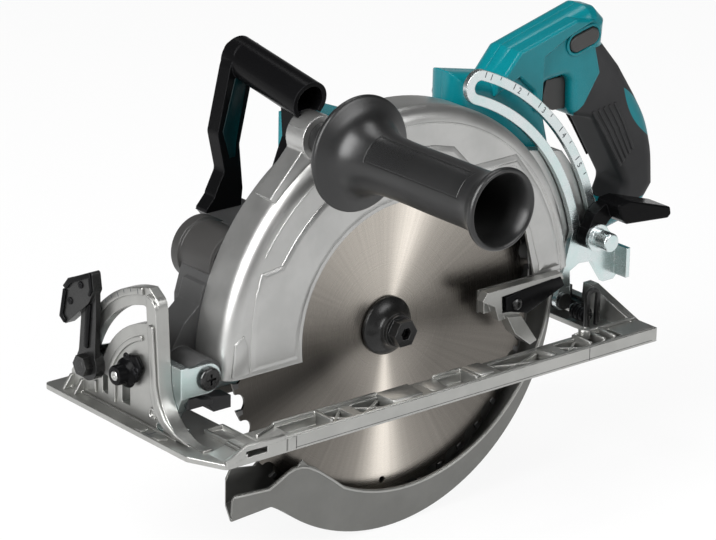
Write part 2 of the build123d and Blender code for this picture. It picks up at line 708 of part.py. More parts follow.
# Side grip and its stud
grip_collar_radius = 11.0
grip_disc_radius = 38.6
grip_ring_radius = 26.0
grip_bore = 21.0
bore_floor = 120.0
stud_end = bore_floor + 4.0
with BuildPart() as side_grip:
    turn_y(*side_grip_axis, [
        (stud_radius, boss_left), (grip_collar_radius, boss_left), (grip_collar_radius, 30), (24, 40),
        (36.5, 46), (grip_disc_radius, 49), (36, 53), (27, 60), (21, 69), (19, 80), (18.2, 105), (18.6, 140),
        (20.5, 165), (22.5, 174), (grip_ring_radius, 178), (grip_ring_radius + 0.6, 182),
        (24.5, side_grip_end), (grip_bore, side_grip_end), (16.5, 150), (14, bore_floor),
        (stud_radius, bore_floor)])
    fillet(side_grip.edges().filter_by(GeomType.CIRCLE).filter_by(
        lambda edge: abs(edge.radius - grip_disc_radius) < 0.01), 2)
side_grip.part.label = "side_grip"
export_step(side_grip.part, "parts/side_grip.step")

with BuildPart() as side_grip_stud:
    rod_y(*side_grip_axis, stud_radius, stud_end, boss_right)
side_grip_stud.part.label = "side_grip_stud"
export_step(side_grip_stud.part, "parts/side_grip_stud.step")

# Front loop handle
bar_x = grip_x + 1
bar_near = Vector(bar_x, -1, guard_top + 15.5)
bar_far = Vector(bar_x, -78, guard_top + 28.5)
leg_right = -77.5
bar_plane = Plane(origin=bar_far, x_dir=(1, 0, 0), z_dir=(bar_near - bar_far))
bar_length = (bar_near - bar_far).length
with BuildPart() as front_handle:
    with BuildSketch(bar_plane):
        Circle(front_bar_radius)
    extrude(amount=bar_length)
    plate_y([(bar_x - 10, guard_top + 39), (bar_x + 10, guard_top + 39), (bar_x + 15, guard_top + 24),
             (bar_x + 25, guard_top - 19), (bar_x + 19, handle_seat_z + 26), (bar_x + 27, handle_seat_z + 11),
             (bar_x + 27, handle_seat_z - 7), (bar_x + 6, handle_seat_z - 7), (bar_x + 4, handle_seat_z + 12),
             (bar_x + 7, guard_top - 29), (bar_x - 2, guard_top + 10), (bar_x - 12, guard_top + 25)],
            leg_right + 11.5, leg_right, corner=7.0)
    plate_y([(bar_x + 16, handle_seat_z + 9), (bar_x + 26, handle_seat_z + 11),
             (bar_x + 34, handle_seat_z + 2),
             (bar_x + 34, handle_seat_z - 7), (bar_x + 16, handle_seat_z - 7)], leg_right + 11.5, leg_right)
    plate_y([(bar_x - 12, guard_top + 17), (bar_x + 8, guard_top + 17), (bar_x + 6, guard_top - 12),
             (bar_x + 10, guard_top - 21), (bar_x + 17, guard_top - 39), (bar_x + 18, guard_top - 49),
             (bar_x + 4, guard_top - 49), (bar_x - 4, guard_top - 30), (bar_x - 8, guard_top - 11)],
            boss_right - gap, guard_right - 4.5, corner=4.0)
    rod_y(*guard_centre, guard_radius + 0.1, 20, guard_right - 0.1, mode=Mode.SUBTRACT)
    rod_y(*side_grip_axis, boss_radius + gap, 20, boss_right - gap, mode=Mode.SUBTRACT)
    with BuildSketch(bar_plane.offset(bar_length)):
        Circle(front_bar_radius - 3.2)
    extrude(amount=-60, mode=Mode.SUBTRACT)
    block((bar_x - 16, bar_x + 54), (-98.5, -40), (60, handle_seat_z), mode=Mode.SUBTRACT)
front_handle.part.label = "front_handle"
export_step(front_handle.part, "parts/front_handle.step")

# Lower guard: rim, two walls, hub web, front beak and the lever tongue
rim_start = 176.0
rim_end = 316.0
beak_left = [(26, -87), (42, -69), (57, -57), (67, -49), (76, -44.5), (86, -45), (97, -50), (105, -54),
             (136, -52),
             (137, -70), (104, -68), (80, -82), (40, -100)]
beak_right = [(26, -84), (60, -52), (104, -46), (122, -43), (137, -70), (104, -68), (80, -82), (40, -100)]
beak_floor = [(104, -65.5), (137, -67.5), (137, -70), (104, -68), (94, -74), (94, -71)]
window_shift = (-15.5, 8.0)
lower_window_radius = 125.0
tongue_z = (29.0, 45.0)
lever_tail = 2.0 - lower_guard_radius


def sector(start, end):
    """Wide pie slice about the arbor, as (x, z) points."""
    steps = 6
    reach = 2 * lower_guard_radius
    spread = [start + (end - start) * step / steps for step in range(steps + 1)]
    return [arbor] + [polar(arbor, reach, angle) for angle in spread]


def guard_slice(outer, inner, start, end, y_left, y_right):
    """Slice of a flat ring about the arbor."""
    with BuildSketch(side(y_left)) as face:
        with Locations(arbor):
            Circle(outer)
            Circle(inner, mode=Mode.SUBTRACT)
        with BuildLine():
            Polyline(*sector(start, end), close=True)
        make_face(mode=Mode.INTERSECT)
    extrude(face.sketch, amount=y_left - y_right)


wide = lower_guard_half_width
lever_web_left = 17.0
with BuildPart() as lower_guard:
    guard_slice(lower_guard_radius, lower_guard_radius - 2.0, rim_start, rim_end, wide, -wide)
    with BuildSketch(side(wide)) as left_wall:
        with Locations(arbor):
            Circle(lower_guard_radius)
        with BuildLine():
            Polyline(*sector(rim_start, rim_end), close=True)
        make_face(mode=Mode.INTERSECT)
        with Locations((arbor[0] + window_shift[0], arbor[1] + window_shift[1])):
            Circle(lower_window_radius, mode=Mode.SUBTRACT)
    extrude(amount=lower_guard_wall)
    plate_y(beak_left, wide, wide - lower_guard_wall, corner=4.0)
    block((lever_tail, lever_tail + 67), (wide - lower_guard_wall, wide), tongue_z)
    plate_y(beak_right, -wide + lower_guard_wall, -wide, corner=2.0)
    plate_y(beak_floor, wide, -wide)
    guard_slice(lower_guard_radius, guard_hub_bore, 186.0, rim_end + 6, -wide + lower_guard_wall, -wide)
    rod_y(0, arbor_height, guard_hub_radius, -wide + lower_guard_wall, guard_right + guard_wall + 0.5)
    rod_y(0, arbor_height, guard_hub_bore, 0, guard_right, mode=Mode.SUBTRACT)
    with BuildSketch(Plane.XY.offset(-90)):
        with BuildLine():
            Polyline((138, wide), (138, -wide - 1), (125, -wide - 1), close=True)
        make_face()
    extrude(amount=60, mode=Mode.SUBTRACT)
lower_guard.part.label = "lower_guard"
export_step(lower_guard.part, "parts/lower_guard.step")

lever_left = 24.0
with BuildPart() as retract_lever:
    block((lever_tail + 57, lever_tail + 67), (wide, lever_web_left), (tongue_z[0] + 1, tongue_z[1] - 1))
    plate_y([(lever_tail + 74, 42), (lever_tail + 70, 47.5), (lever_tail + 2, 47.5), (lever_tail, 43),
             (lever_tail + 41, 26), (lever_tail + 59, 25), (lever_tail + 63, 36)], lever_left, lever_web_left)
    plate_y([(lever_tail + 57, 42), (lever_tail + 56, 30), (lever_tail + 42, 29), (lever_tail + 8, 43.5),
             (lever_tail + 10, 45)], lever_left, lever_web_left + 2, mode=Mode.SUBTRACT)
    plate_y([(lever_tail + 55, 28), (lever_tail + 42, 26), (lever_tail + 27, 5), (lever_tail + 33, 3),
             (lever_tail + 47, 14)], lever_left + 4, lever_left - 6)
retract_lever.part.label = "retract_lever"
export_step(retract_lever.part, "parts/retract_lever.step")

# Depth guide: a slotted arc that follows the clamp bolt as the body is raised
guide_left = -4.3
guide_right = -8.3
guide_width = 24.0
slot_width = 2 * clamp_bolt_radius + 1.8


def turned(point, centre, angle):
    """Point turned about a centre, clockwise with X to the right and Z up."""
    dx = point[0] - centre[0]
    dz = point[1] - centre[1]
    c = cos(radians(angle))
    s = sin(radians(angle))
    return (centre[0] + c * dx + s * dz, centre[1] - s * dx + c * dz)


def guide_point(lift):
    """Place of the clamp bolt on the guide plate when the body is raised by an angle."""
    return turned(turned(clamp_point, depth_pivot, lift), guide_pivot, guide_ratio * lift)


guide_pin_radius = 3.5
hook_x = clamp_point[0] - 32
guide_track = ThreePointArc(guide_point(0), guide_point(depth_range / 2), guide_point(depth_range))
with BuildPart() as depth_guide:
    with BuildSketch(side(guide_left)) as guide_face:
        SlotArc(guide_track, guide_width)
        with BuildLine():
            Polyline((guide_pivot[0] + 7, guide_pivot[1]), (guide_pivot[0] - 7, guide_pivot[1]),
                     (guide_pivot[0] - 5.5, 33), (clamp_point[0] + 6, 37), (clamp_point[0] - 6, 36),
                     (clamp_point[0] - 18, 18), (clamp_point[0] - 28, 18), (hook_x, 22), (hook_x, 44),
                     (clamp_point[0] - 26, 52), (clamp_point[0] - 14, 62),
                     (clamp_point[0] + 12, clamp_point[1] + 8), close=True)
        make_face()
        with Locations(guide_pivot):
            Circle(7.0)
        SlotArc(guide_track, slot_width, mode=Mode.SUBTRACT)
        with Locations(guide_pivot):
            Circle(guide_pin_radius + running, mode=Mode.SUBTRACT)
    extrude(amount=guide_left - guide_right)
    block((hook_x, hook_x + 3.5), (guide_left, guide_left + 12), (22, 44))
depth_guide.part.label = "depth_guide"
export_step(depth_guide.part, "parts/depth_guide.step")

# Depth clamp: bolt, lever and nut
lever_hub_right = guide_left + 0.5
lever_hub_left = 5.5
nut_left = 22.0
nut_flange = 2.7
paddle_left = 18.0
with BuildPart() as depth_clamp_bolt:
    rod_y(*clamp_point, clamp_bolt_radius, nut_left, arm_right)
    rod_y(*clamp_point, 7.5, arm_right, arm_right - 2.5)
    rod_y(*clamp_point, 10.0, lever_hub_left + gap + nut_flange, lever_hub_left + gap)
    rod_y(*clamp_point, 6.8, nut_left, lever_hub_left + gap)
    fillet(depth_clamp_bolt.faces().sort_by(Axis.Y)[-1].edges(), 1.5)
depth_clamp_bolt.part.label = "depth_clamp_bolt"
export_step(depth_clamp_bolt.part, "parts/depth_clamp_bolt.step")

with BuildPart() as depth_lever:
    rod_y(*clamp_point, 9.5, lever_hub_left, lever_hub_right)
    plate_y([(clamp_point[0] - 7, 63), (clamp_point[0] + 7, 65), (clamp_point[0] + 2, 75),
             (clamp_point[0] - 8, 81),
             (clamp_point[0] - 17, 72)], lever_hub_left, lever_hub_right)
    plate_y([(clamp_point[0] - 8, 83), (clamp_point[0] - 13, 71), (clamp_point[0] - 18, 67),
             (clamp_point[0] - 58, 63.5),
             (clamp_point[0] - 61, 66), (clamp_point[0] - 60, 71.5), (clamp_point[0] - 20, 84)],
            paddle_left, lever_hub_right, corner=2.0)
    fillet(depth_lever.faces().sort_by(Axis.Y)[-1].edges(), 1.5)
    rod_y(*clamp_point, clamp_bolt_radius + running, 30, -10, mode=Mode.SUBTRACT)
depth_lever.part.label = "depth_lever"
export_step(depth_lever.part, "parts/depth_lever.step")

# Base casting: sole, ribbed left rail, rims and the rear wall
quadrant_rear = depth_pivot[0] + 22.0
quadrant_front = quadrant_rear + 7.0
quadrant_rim = 3.0
bracket_front = quadrant_rear - gap
bracket_rear = bracket_front - 6.0
rear_wall_front = base_rear + 7.0
rear_bracket_rear = rear_wall_front + gap
rear_bracket_front = rear_bracket_rear + 5.0
lug_radius = 5.5
bevel_pin_radius = 3.5
pocket_count = 5
pocket_length = 52.0
pocket_pitch = 60.0
fence_slot_x = (opening_front + 4.0, opening_front + 20.0)
fence_slot_z = (4.5, 8.5)
with BuildPart() as base_plate:
    with BuildSketch() as sole:
        with BuildLine():
            Polyline((base_rear, base_right), (base_front, base_right), (base_front, base_left - 26),
                     (base_front - 12, base_left), (base_rear, base_left), close=True)
        make_face()
        fillet(sole.vertices(), 4.0)
    extrude(amount=sole_thickness)
    plate_y([(base_rear, 0), (base_rear, rail_height), (opening_front + 6, rail_height),
             (base_front - 14, sole_thickness),
             (base_front - 14, 0)], base_left, rail_inner)
    block((base_rear, base_rear + 7), (base_right, rail_inner + 1), (0, 10))
    plate_x([(rail_inner + 4, 0), (rail_inner + 4, 10), (10, 25), (2, 25), (1, 13), (-24, 13), (-28, 10),
             (-28, 0)],
            base_rear, rear_wall_front)
    block((base_rear, base_front - 30), (base_right, base_right + 5), (0, 9))
    block((opening_rear - 8, opening_front + 8), (opening_right - 5, opening_right), (0, 6))
    block((opening_rear, opening_front), (opening_right, rail_inner), (-1, 40), mode=Mode.SUBTRACT)
    with BuildSketch(Plane.XY.offset(rail_height)):
        with Locations(((base_rear + opening_front) / 2 + 6, base_left - rail_width / 2)):
            with GridLocations(pocket_pitch, 0, pocket_count, 1):
                Rectangle(pocket_length, rail_width - 7)
    extrude(amount=-(rail_height - sole_thickness), mode=Mode.SUBTRACT)
    block(fence_slot_x, (rail_inner - 1, base_left + 1), fence_slot_z, mode=Mode.SUBTRACT)
    block((bracket_rear - 3, quadrant_rear), (-10, 10), (-1, 12), mode=Mode.SUBTRACT)
    block((rear_wall_front, rear_bracket_front + 3), (-10, 10), (-1, 12), mode=Mode.SUBTRACT)
    rod_x(0, bevel_axis_z, bevel_pin_radius, base_rear, rear_wall_front, mode=Mode.SUBTRACT)
    rod_x(0, bevel_axis_z, bevel_pin_radius, quadrant_rear, quadrant_front, mode=Mode.SUBTRACT)
base_plate.part.label = "base_plate"
export_step(base_plate.part, "parts/base_plate.step")

# Front bevel quadrant with its arc slot and scale band
quadrant_radius = 92.5
rim_corner = 8.0
bevel_slot_radius = quadrant_radius - 18.0
rim_top = bevel_axis_z + quadrant_radius - 7.5
bevel_slot_width = 12.0
bevel_bolt_angle = 162.0
bevel_centre = (0.0, bevel_axis_z)
bevel_bolt = polar(bevel_centre, bevel_slot_radius, bevel_bolt_angle)
stop_knob_place = (-28.0, 38.0)
stop_pin_radius = 4.0
bevel_track = ThreePointArc(polar(bevel_centre, bevel_slot_radius, bevel_bolt_angle + 1.5),
                            polar(bevel_centre, bevel_slot_radius, bevel_bolt_angle - bevel_slot_range / 2),
                            polar(bevel_centre, bevel_slot_radius, bevel_bolt_angle - bevel_slot_range))
with BuildPart() as bevel_quadrant:
    with BuildSketch(front(quadrant_rear)) as quadrant_face:
        with BuildLine():
            Line((46, sole_thickness), (-98, sole_thickness))
            Line((-98, sole_thickness), (-98, 15))
            Line((-98, 15), polar(bevel_centre, quadrant_radius, 168))
            ThreePointArc(polar(bevel_centre, quadrant_radius, 168),
                          polar(bevel_centre, quadrant_radius, 130),
                          polar(bevel_centre, quadrant_radius, 97))
            Line(polar(bevel_centre, quadrant_radius, 97), (-1, rim_top))
            Line((-1, rim_top), (3, 36))
            ThreePointArc((3, 36), (14, 14), (46, sole_thickness + 1.5))
            Line((46, sole_thickness + 1.5), (46, sole_thickness))
        make_face()
        fillet([v for v in quadrant_face.vertices() if abs(v.X + 1) < 0.1], rim_corner)
        SlotArc(bevel_track, bevel_slot_width, mode=Mode.SUBTRACT)
        with Locations(stop_knob_place):
            Circle(stop_pin_radius + running, mode=Mode.SUBTRACT)
        with Locations((-37, 17)):
            Rectangle(9, 13, mode=Mode.SUBTRACT)
        with Locations((-60, 17)):
            Rectangle(6, 13, mode=Mode.SUBTRACT)
        with Locations(bevel_centre):
            Circle(bevel_pin_radius, mode=Mode.SUBTRACT)
    extrude(amount=quadrant_front - quadrant_rear)
    with BuildSketch(front(quadrant_front)) as rim_face:
        with BuildLine():
            Line((-11, rim_top + 3), (-1, rim_top))
            Line((-1, rim_top), (3, 36))
            ThreePointArc((3, 36), (14, 14), (46, sole_thickness + 1.5))
            Line((46, sole_thickness + 1.5), (24, sole_thickness + 1.5))
            ThreePointArc((24, sole_thickness + 1.5), (0, 14), (-7, 36))
            Line((-7, 36), (-11, rim_top + 3))
        make_face()
        fillet([v for v in rim_face.vertices() if abs(v.X + 1) < 0.1], rim_corner)
    extrude(amount=quadrant_rim)
bevel_quadrant.part.label = "bevel_quadrant"
export_step(bevel_quadrant.part, "parts/bevel_quadrant.step")

with BuildPart() as front_bevel_pin:
    rod_x(0, bevel_axis_z, bevel_pin_radius, bracket_rear - 2, quadrant_front)
front_bevel_pin.part.label = "front_bevel_pin"
export_step(front_bevel_pin.part, "parts/front_bevel_pin.step")

with BuildPart() as rear_bevel_pin:
    rod_x(0, bevel_axis_z, bevel_pin_radius, base_rear, rear_bracket_front + 2)
rear_bevel_pin.part.label = "rear_bevel_pin"
export_step(rear_bevel_pin.part, "parts/rear_bevel_pin.step")

# Stop knob on the quadrant
knob_rear = quadrant_front + gap
with BuildPart() as stop_knob:
    rod_x(*stop_knob_place, 13.5, knob_rear, knob_rear + 4)
    rod_x(*stop_knob_place, stop_pin_radius, quadrant_rear, knob_rear)
    plate_x([(stop_knob_place[0] - 13, stop_knob_place[1] - 9),
             (stop_knob_place[0] - 9, stop_knob_place[1] - 14),
             (stop_knob_place[0] + 9, stop_knob_place[1] + 2), (stop_knob_place[0], stop_knob_place[1] + 9)],
            knob_rear, knob_rear + 10, corner=3.0)
    rod_x(stop_knob_place[0] - 4, stop_knob_place[1] - 4, 7.0, knob_rear, knob_rear + 14)
stop_knob.part.label = "stop_knob"
export_step(stop_knob.part, "parts/stop_knob.step")

# Tilting front bracket with the ears of the depth pivot
ear_thickness = 3.0
ear_outer = ear_inner + ear_thickness
ear_far = pivot_boss_right - gap - ear_thickness
bevel_bolt_radius = 4.0
with BuildPart() as front_bracket:
    plate_x([(5, 11), (9, 18), (ear_outer, 27), (ear_outer, 48), (-ear_outer, 48), (-60, 44), (-80, 36),
             (-80, 22),
             (-60, 18), (-9, 16), (-5, 11)], bracket_rear, bracket_front)
    rod_x(0, bevel_axis_z, lug_radius, bracket_rear, bracket_front)
    plate_x([(-5, 4), (5, 4), (5, 14), (-5, 14)], bracket_rear, bracket_front)
    for ear_left in (ear_outer, pivot_boss_right - gap):
        plate_y([(bracket_rear + 1, 27), (bracket_rear + 1, 47), (depth_pivot[0], depth_pivot[1] + 10),
                 (depth_pivot[0], depth_pivot[1] - 10)], ear_left, ear_left - ear_thickness)
        rod_y(*depth_pivot, 10.0, ear_left, ear_left - ear_thickness)
    rod_y(*depth_pivot, pivot_pin_radius, ear_outer, ear_far, mode=Mode.SUBTRACT)
    rod_x(0, bevel_axis_z, bevel_pin_radius + running, bracket_rear, bracket_front, mode=Mode.SUBTRACT)
    rod_x(*bevel_bolt, bevel_bolt_radius, bracket_rear, bracket_front, mode=Mode.SUBTRACT)
front_bracket.part.label = "front_bracket"
export_step(front_bracket.part, "parts/front_bracket.step")

# Rubber bumper behind the bracket
with BuildPart() as depth_bumper:
    plate_y([(opening_front - 16, 9), (opening_front - 16, 17.5), (opening_front, 20), (bracket_rear - 8, 26),
             (bracket_rear, 26), (bracket_rear, 17), (opening_front + 2, 15), (opening_front - 2, 9)],
             5.5, -6.5)
    plate_y([(opening_front + 4, 18.5), (opening_front + 4, 21.5), (opening_front + 13, 23),
             (bracket_rear - 7, 25.5),
             (bracket_rear, 25.5), (bracket_rear, 18.5)], 12.3, 5.5)
depth_bumper.part.label = "depth_bumper"
export_step(depth_bumper.part, "parts/depth_bumper.step")

with BuildPart() as depth_pivot_screw:
    rod_y(*depth_pivot, pivot_pin_radius, ear_outer, ear_far)
    rod_y(*depth_pivot, 8.0, ear_outer + 3.5, ear_outer)
    fillet(depth_pivot_screw.faces().sort_by(Axis.Y)[-1].edges(), 1.8)
    with BuildSketch(side(ear_outer + 3.5)):
        with Locations(depth_pivot):
            Rectangle(8, 1.6)
            Rectangle(1.6, 8)
    extrude(amount=2.0, mode=Mode.SUBTRACT)
    with BuildSketch(side(ear_far)):
        with Locations(depth_pivot):
            RegularPolygon(7.5, 6, major_radius=False)
    extrude(amount=3.6)
depth_pivot_screw.part.label = "depth_pivot_screw"
export_step(depth_pivot_screw.part, "parts/depth_pivot_screw.step")

# Bevel clamp: bolt, lever and nut
bevel_lever_rear = quadrant_front + gap
bevel_lever_front = bevel_lever_rear + 7.0
bevel_arm_rear = quadrant_front + quadrant_rim + gap
with BuildPart() as bevel_clamp_bolt:
    rod_x(*bevel_bolt, bevel_bolt_radius, bracket_rear, bevel_lever_front + 6)
    rod_x(*bevel_bolt, 7.0, bracket_rear - 3, bracket_rear)
    with BuildSketch(front(bevel_lever_front + gap)):
        with Locations(bevel_bolt):
            RegularPolygon(6.5, 6, major_radius=False)
    extrude(amount=5.5)
bevel_clamp_bolt.part.label = "bevel_clamp_bolt"
export_step(bevel_clamp_bolt.part, "parts/bevel_clamp_bolt.step")

with BuildPart() as bevel_lever:
    rod_x(*bevel_bolt, 11.0, bevel_lever_rear, bevel_lever_front)
    plate_x([(bevel_bolt[0] - 9, bevel_bolt[1] + 2), (bevel_bolt[0] + 9, bevel_bolt[1] + 4), (-60, 62),
             (-60, 84), (-74, 82)],
            bevel_arm_rear, bevel_lever_front)
    plate_x([(-60, 97), (-58, 84), (-64, 74), (-90, 52), (-96, 56), (-90, 80), (-84, 86)],
            bevel_arm_rear, bevel_lever_front + 3, corner=2.0)
    rod_x(*bevel_bolt, bevel_bolt_radius + running, bevel_lever_rear, bevel_lever_front, mode=Mode.SUBTRACT)
bevel_lever.part.label = "bevel_lever"
export_step(bevel_lever.part, "parts/bevel_lever.step")

# Tilting rear bracket with the pivot of the depth guide
with BuildPart() as rear_bracket:
    rod_x(0, bevel_axis_z, lug_radius, rear_bracket_rear, rear_bracket_front)
    plate_x([(5, 4), (5, 11), (-8.6, 11.5), (-8.6, 20), (-20, 20), (-20, 8), (-8, 4)], rear_bracket_rear,
            rear_bracket_front)
    plate_y([(rear_bracket_rear, 8.5), (rear_bracket_rear, 20), (guide_pivot[0], guide_pivot[1] + 7),
             (guide_pivot[0], guide_pivot[1] - 3)], guide_right - gap, guide_right - gap - 4)
    rod_y(*guide_pivot, 7.0, guide_right - gap, guide_right - gap - 4)
    rod_y(*guide_pivot, guide_pin_radius, guide_left, -30, mode=Mode.SUBTRACT)
    rod_x(0, bevel_axis_z, bevel_pin_radius + running, rear_bracket_rear, rear_bracket_front,
          mode=Mode.SUBTRACT)
rear_bracket.part.label = "rear_bracket"
export_step(rear_bracket.part, "parts/rear_bracket.step")

with BuildPart() as guide_pin:
    rod_y(*guide_pivot, guide_pin_radius, guide_left + gap, guide_right - gap - 4)
    rod_y(*guide_pivot, 6.0, guide_left + gap + 2, guide_left + gap)
guide_pin.part.label = "guide_pin"
export_step(guide_pin.part, "parts/guide_pin.step")
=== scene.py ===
import json
import math
from contextlib import contextmanager

import bmesh
import bpy
from bpy.props import FloatProperty, FloatVectorProperty, PointerProperty
from bpy.types import Operator, Panel, PropertyGroup
from mathutils import Matrix, Vector


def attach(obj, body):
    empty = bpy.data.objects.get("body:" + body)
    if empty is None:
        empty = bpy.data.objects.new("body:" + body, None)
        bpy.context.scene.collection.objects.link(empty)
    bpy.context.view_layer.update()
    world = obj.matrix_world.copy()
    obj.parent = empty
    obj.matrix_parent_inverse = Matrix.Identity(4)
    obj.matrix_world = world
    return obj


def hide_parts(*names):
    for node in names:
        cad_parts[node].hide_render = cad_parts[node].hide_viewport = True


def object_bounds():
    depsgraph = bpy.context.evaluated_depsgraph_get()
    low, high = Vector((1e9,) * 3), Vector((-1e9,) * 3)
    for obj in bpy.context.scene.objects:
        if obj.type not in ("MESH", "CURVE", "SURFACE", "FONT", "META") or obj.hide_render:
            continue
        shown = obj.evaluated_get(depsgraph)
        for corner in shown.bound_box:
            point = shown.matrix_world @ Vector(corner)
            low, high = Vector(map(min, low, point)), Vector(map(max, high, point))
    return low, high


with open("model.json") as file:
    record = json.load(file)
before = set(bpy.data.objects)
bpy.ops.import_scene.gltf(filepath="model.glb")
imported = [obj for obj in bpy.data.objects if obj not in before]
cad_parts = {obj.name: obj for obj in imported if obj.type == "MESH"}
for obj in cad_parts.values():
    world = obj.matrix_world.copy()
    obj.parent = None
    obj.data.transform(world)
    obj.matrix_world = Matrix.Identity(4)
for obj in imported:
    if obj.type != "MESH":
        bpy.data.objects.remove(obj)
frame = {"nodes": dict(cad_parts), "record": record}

bl_info = {
    "name": "Rear handle saw",
    "version": (1, 0, 0),
    "blender": (4, 5, 0),
    "location": "3D View > Sidebar > Saw",
    "description": "Finishes and trim for a rear handle circular saw",
    "category": "Object",
}

MM = 0.001
SAME_POINT = 0.000004
CAD_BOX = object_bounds()

# Places on the solids, in millimetres; SOLE is just under the sole's top, so what stands there is rooted
ARBOR = Vector((0.0, 0.0, 34.0))
GUARD_CENTRE = (-6.0, 35.0)
SOLE = 3.4
RAIL_SIDE = 70.0

# The photograph's camera, solved from the blade and the base
PHOTO_WIDTH = 716.0
PHOTO_FOCAL = 3500.0
SENSOR_WIDTH = 36.0
CAMERA_PLACE = Matrix((
    (-0.7714, -0.2049, 0.6025, 1.4219),
    (0.6361, -0.2755, 0.7207, 1.6723),
    (0.0183, 0.9392, 0.3429, 0.8737),
    (0.0, 0.0, 0.0, 1.0)))

# The floor behind the saw and just below it, and each lamp's name, width, height and place, in metres
FLOOR_MIDDLE = (-0.4, -0.5)
FLOOR_GAP = 0.0004
LAMPS = (
    ("key", 1.3, 2.3, (1.75, 0.30, 1.35)),
    ("side", 1.6, 1.2, (-0.7, 2.2, 1.5)),
    ("top", 1.2, 0.8, (-0.6, -0.7, 2.2)),
)
LAMP_AIM = Vector((0.0, 0.0, 0.06))


# Sizes and colours that a user would change

def colour(name, description, default):
    return FloatVectorProperty(name=name, description=description, subtype="COLOR",
                               size=3, min=0.0, max=1.0, default=default)


def amount(name, description, default, unit="NONE"):
    return FloatProperty(name=name, description=description, default=default, min=0.0, unit=unit)


class SawColours(PropertyGroup):
    """Colours of the saw's finishes, as linear light."""
    housing: colour("Housing", "Moulded housings and handle", (0.001, 0.156, 0.184))
    casting: colour("Casting", "Base and bevel arc", (0.41, 0.41, 0.395))
    guard: colour("Guard", "Upper guard", (0.47, 0.47, 0.46))
    lower_guard: colour("Lower guard", "Lower guard", (0.185, 0.185, 0.176))
    zinc: colour("Zinc", "Zinc plated brackets and depth guide", (0.66, 0.73, 0.73))
    blade: colour("Blade", "Blade steel", (1.0, 0.925, 0.83))
    black: colour("Black", "Black plastic and levers", (0.0035, 0.0035, 0.0038))
    grip: colour("Grip", "Side grip", (0.0105, 0.0106, 0.0108))
    case: colour("Gear case", "Dark gear case", (0.062, 0.062, 0.062))
    lever: colour("Guard lever", "Bare lever of the lower guard", (0.36, 0.36, 0.345))


class SawStage(PropertyGroup):
    """Light and floor around the saw."""
    floor_reach: amount("Floor reach", "Side of the floor", 9.0, "LENGTH")
    floor_shade: amount("Floor shade", "How pale the floor is, up to 1", 0.90)
    key_power: amount("Key", "Light from the front", 92.0, "POWER")
    side_power: amount("Side", "Light from the blade side", 36.0, "POWER")
    top_power: amount("Top", "Light from above", 13.0, "POWER")
    room_level: amount("Room", "Level of the light all round", 0.28)


class SawTrim(PropertyGroup):
    """Sizes of the small trim, in metres."""
    tick_width: amount("Tick width", "Width of a scale line", 0.0006, "LENGTH")
    digit_height: amount("Digit height", "Height of the scale's numbers", 0.0062, "LENGTH")
    rib_width: amount("Rib width", "Width of the rail's webs", 0.0022, "LENGTH")


# Finishes

FINISHES = {}


def arithmetic(operation, swapped=False):
    """Method that adds a Math node for a wire and another value."""
    def method(self, other):
        return self.maths(operation, *((other, self) if swapped else (self, other)))
    return method


class Wire:
    """A value on its way through a finish; arithmetic on it adds Math nodes."""
    __add__ = arithmetic("ADD")
    __radd__ = arithmetic("ADD", True)
    __sub__ = arithmetic("SUBTRACT")
    __rsub__ = arithmetic("SUBTRACT", True)
    __mul__ = arithmetic("MULTIPLY")
    __truediv__ = arithmetic("DIVIDE")
    __pow__ = arithmetic("POWER")

    def __init__(self, finish, socket):
        self.finish = finish
        self.socket = socket

    def maths(self, operation, first, second=0.0):
        return self.finish.node("ShaderNodeMath", {"operation": operation}, {0: first, 1: second})

    def between(self, low, high):
        """0 at low, 1 at high, smooth between and flat outside."""
        return self.finish.node("ShaderNodeMapRange", {"interpolation_type": "SMOOTHSTEP"},
                                {"Value": self, "From Min": low, "From Max": high})

    def size(self):
        return self.maths("ABSOLUTE", self)

    def sine(self):
        return self.maths("SINE", self)

    def cosine(self):
        return self.maths("COSINE", self)


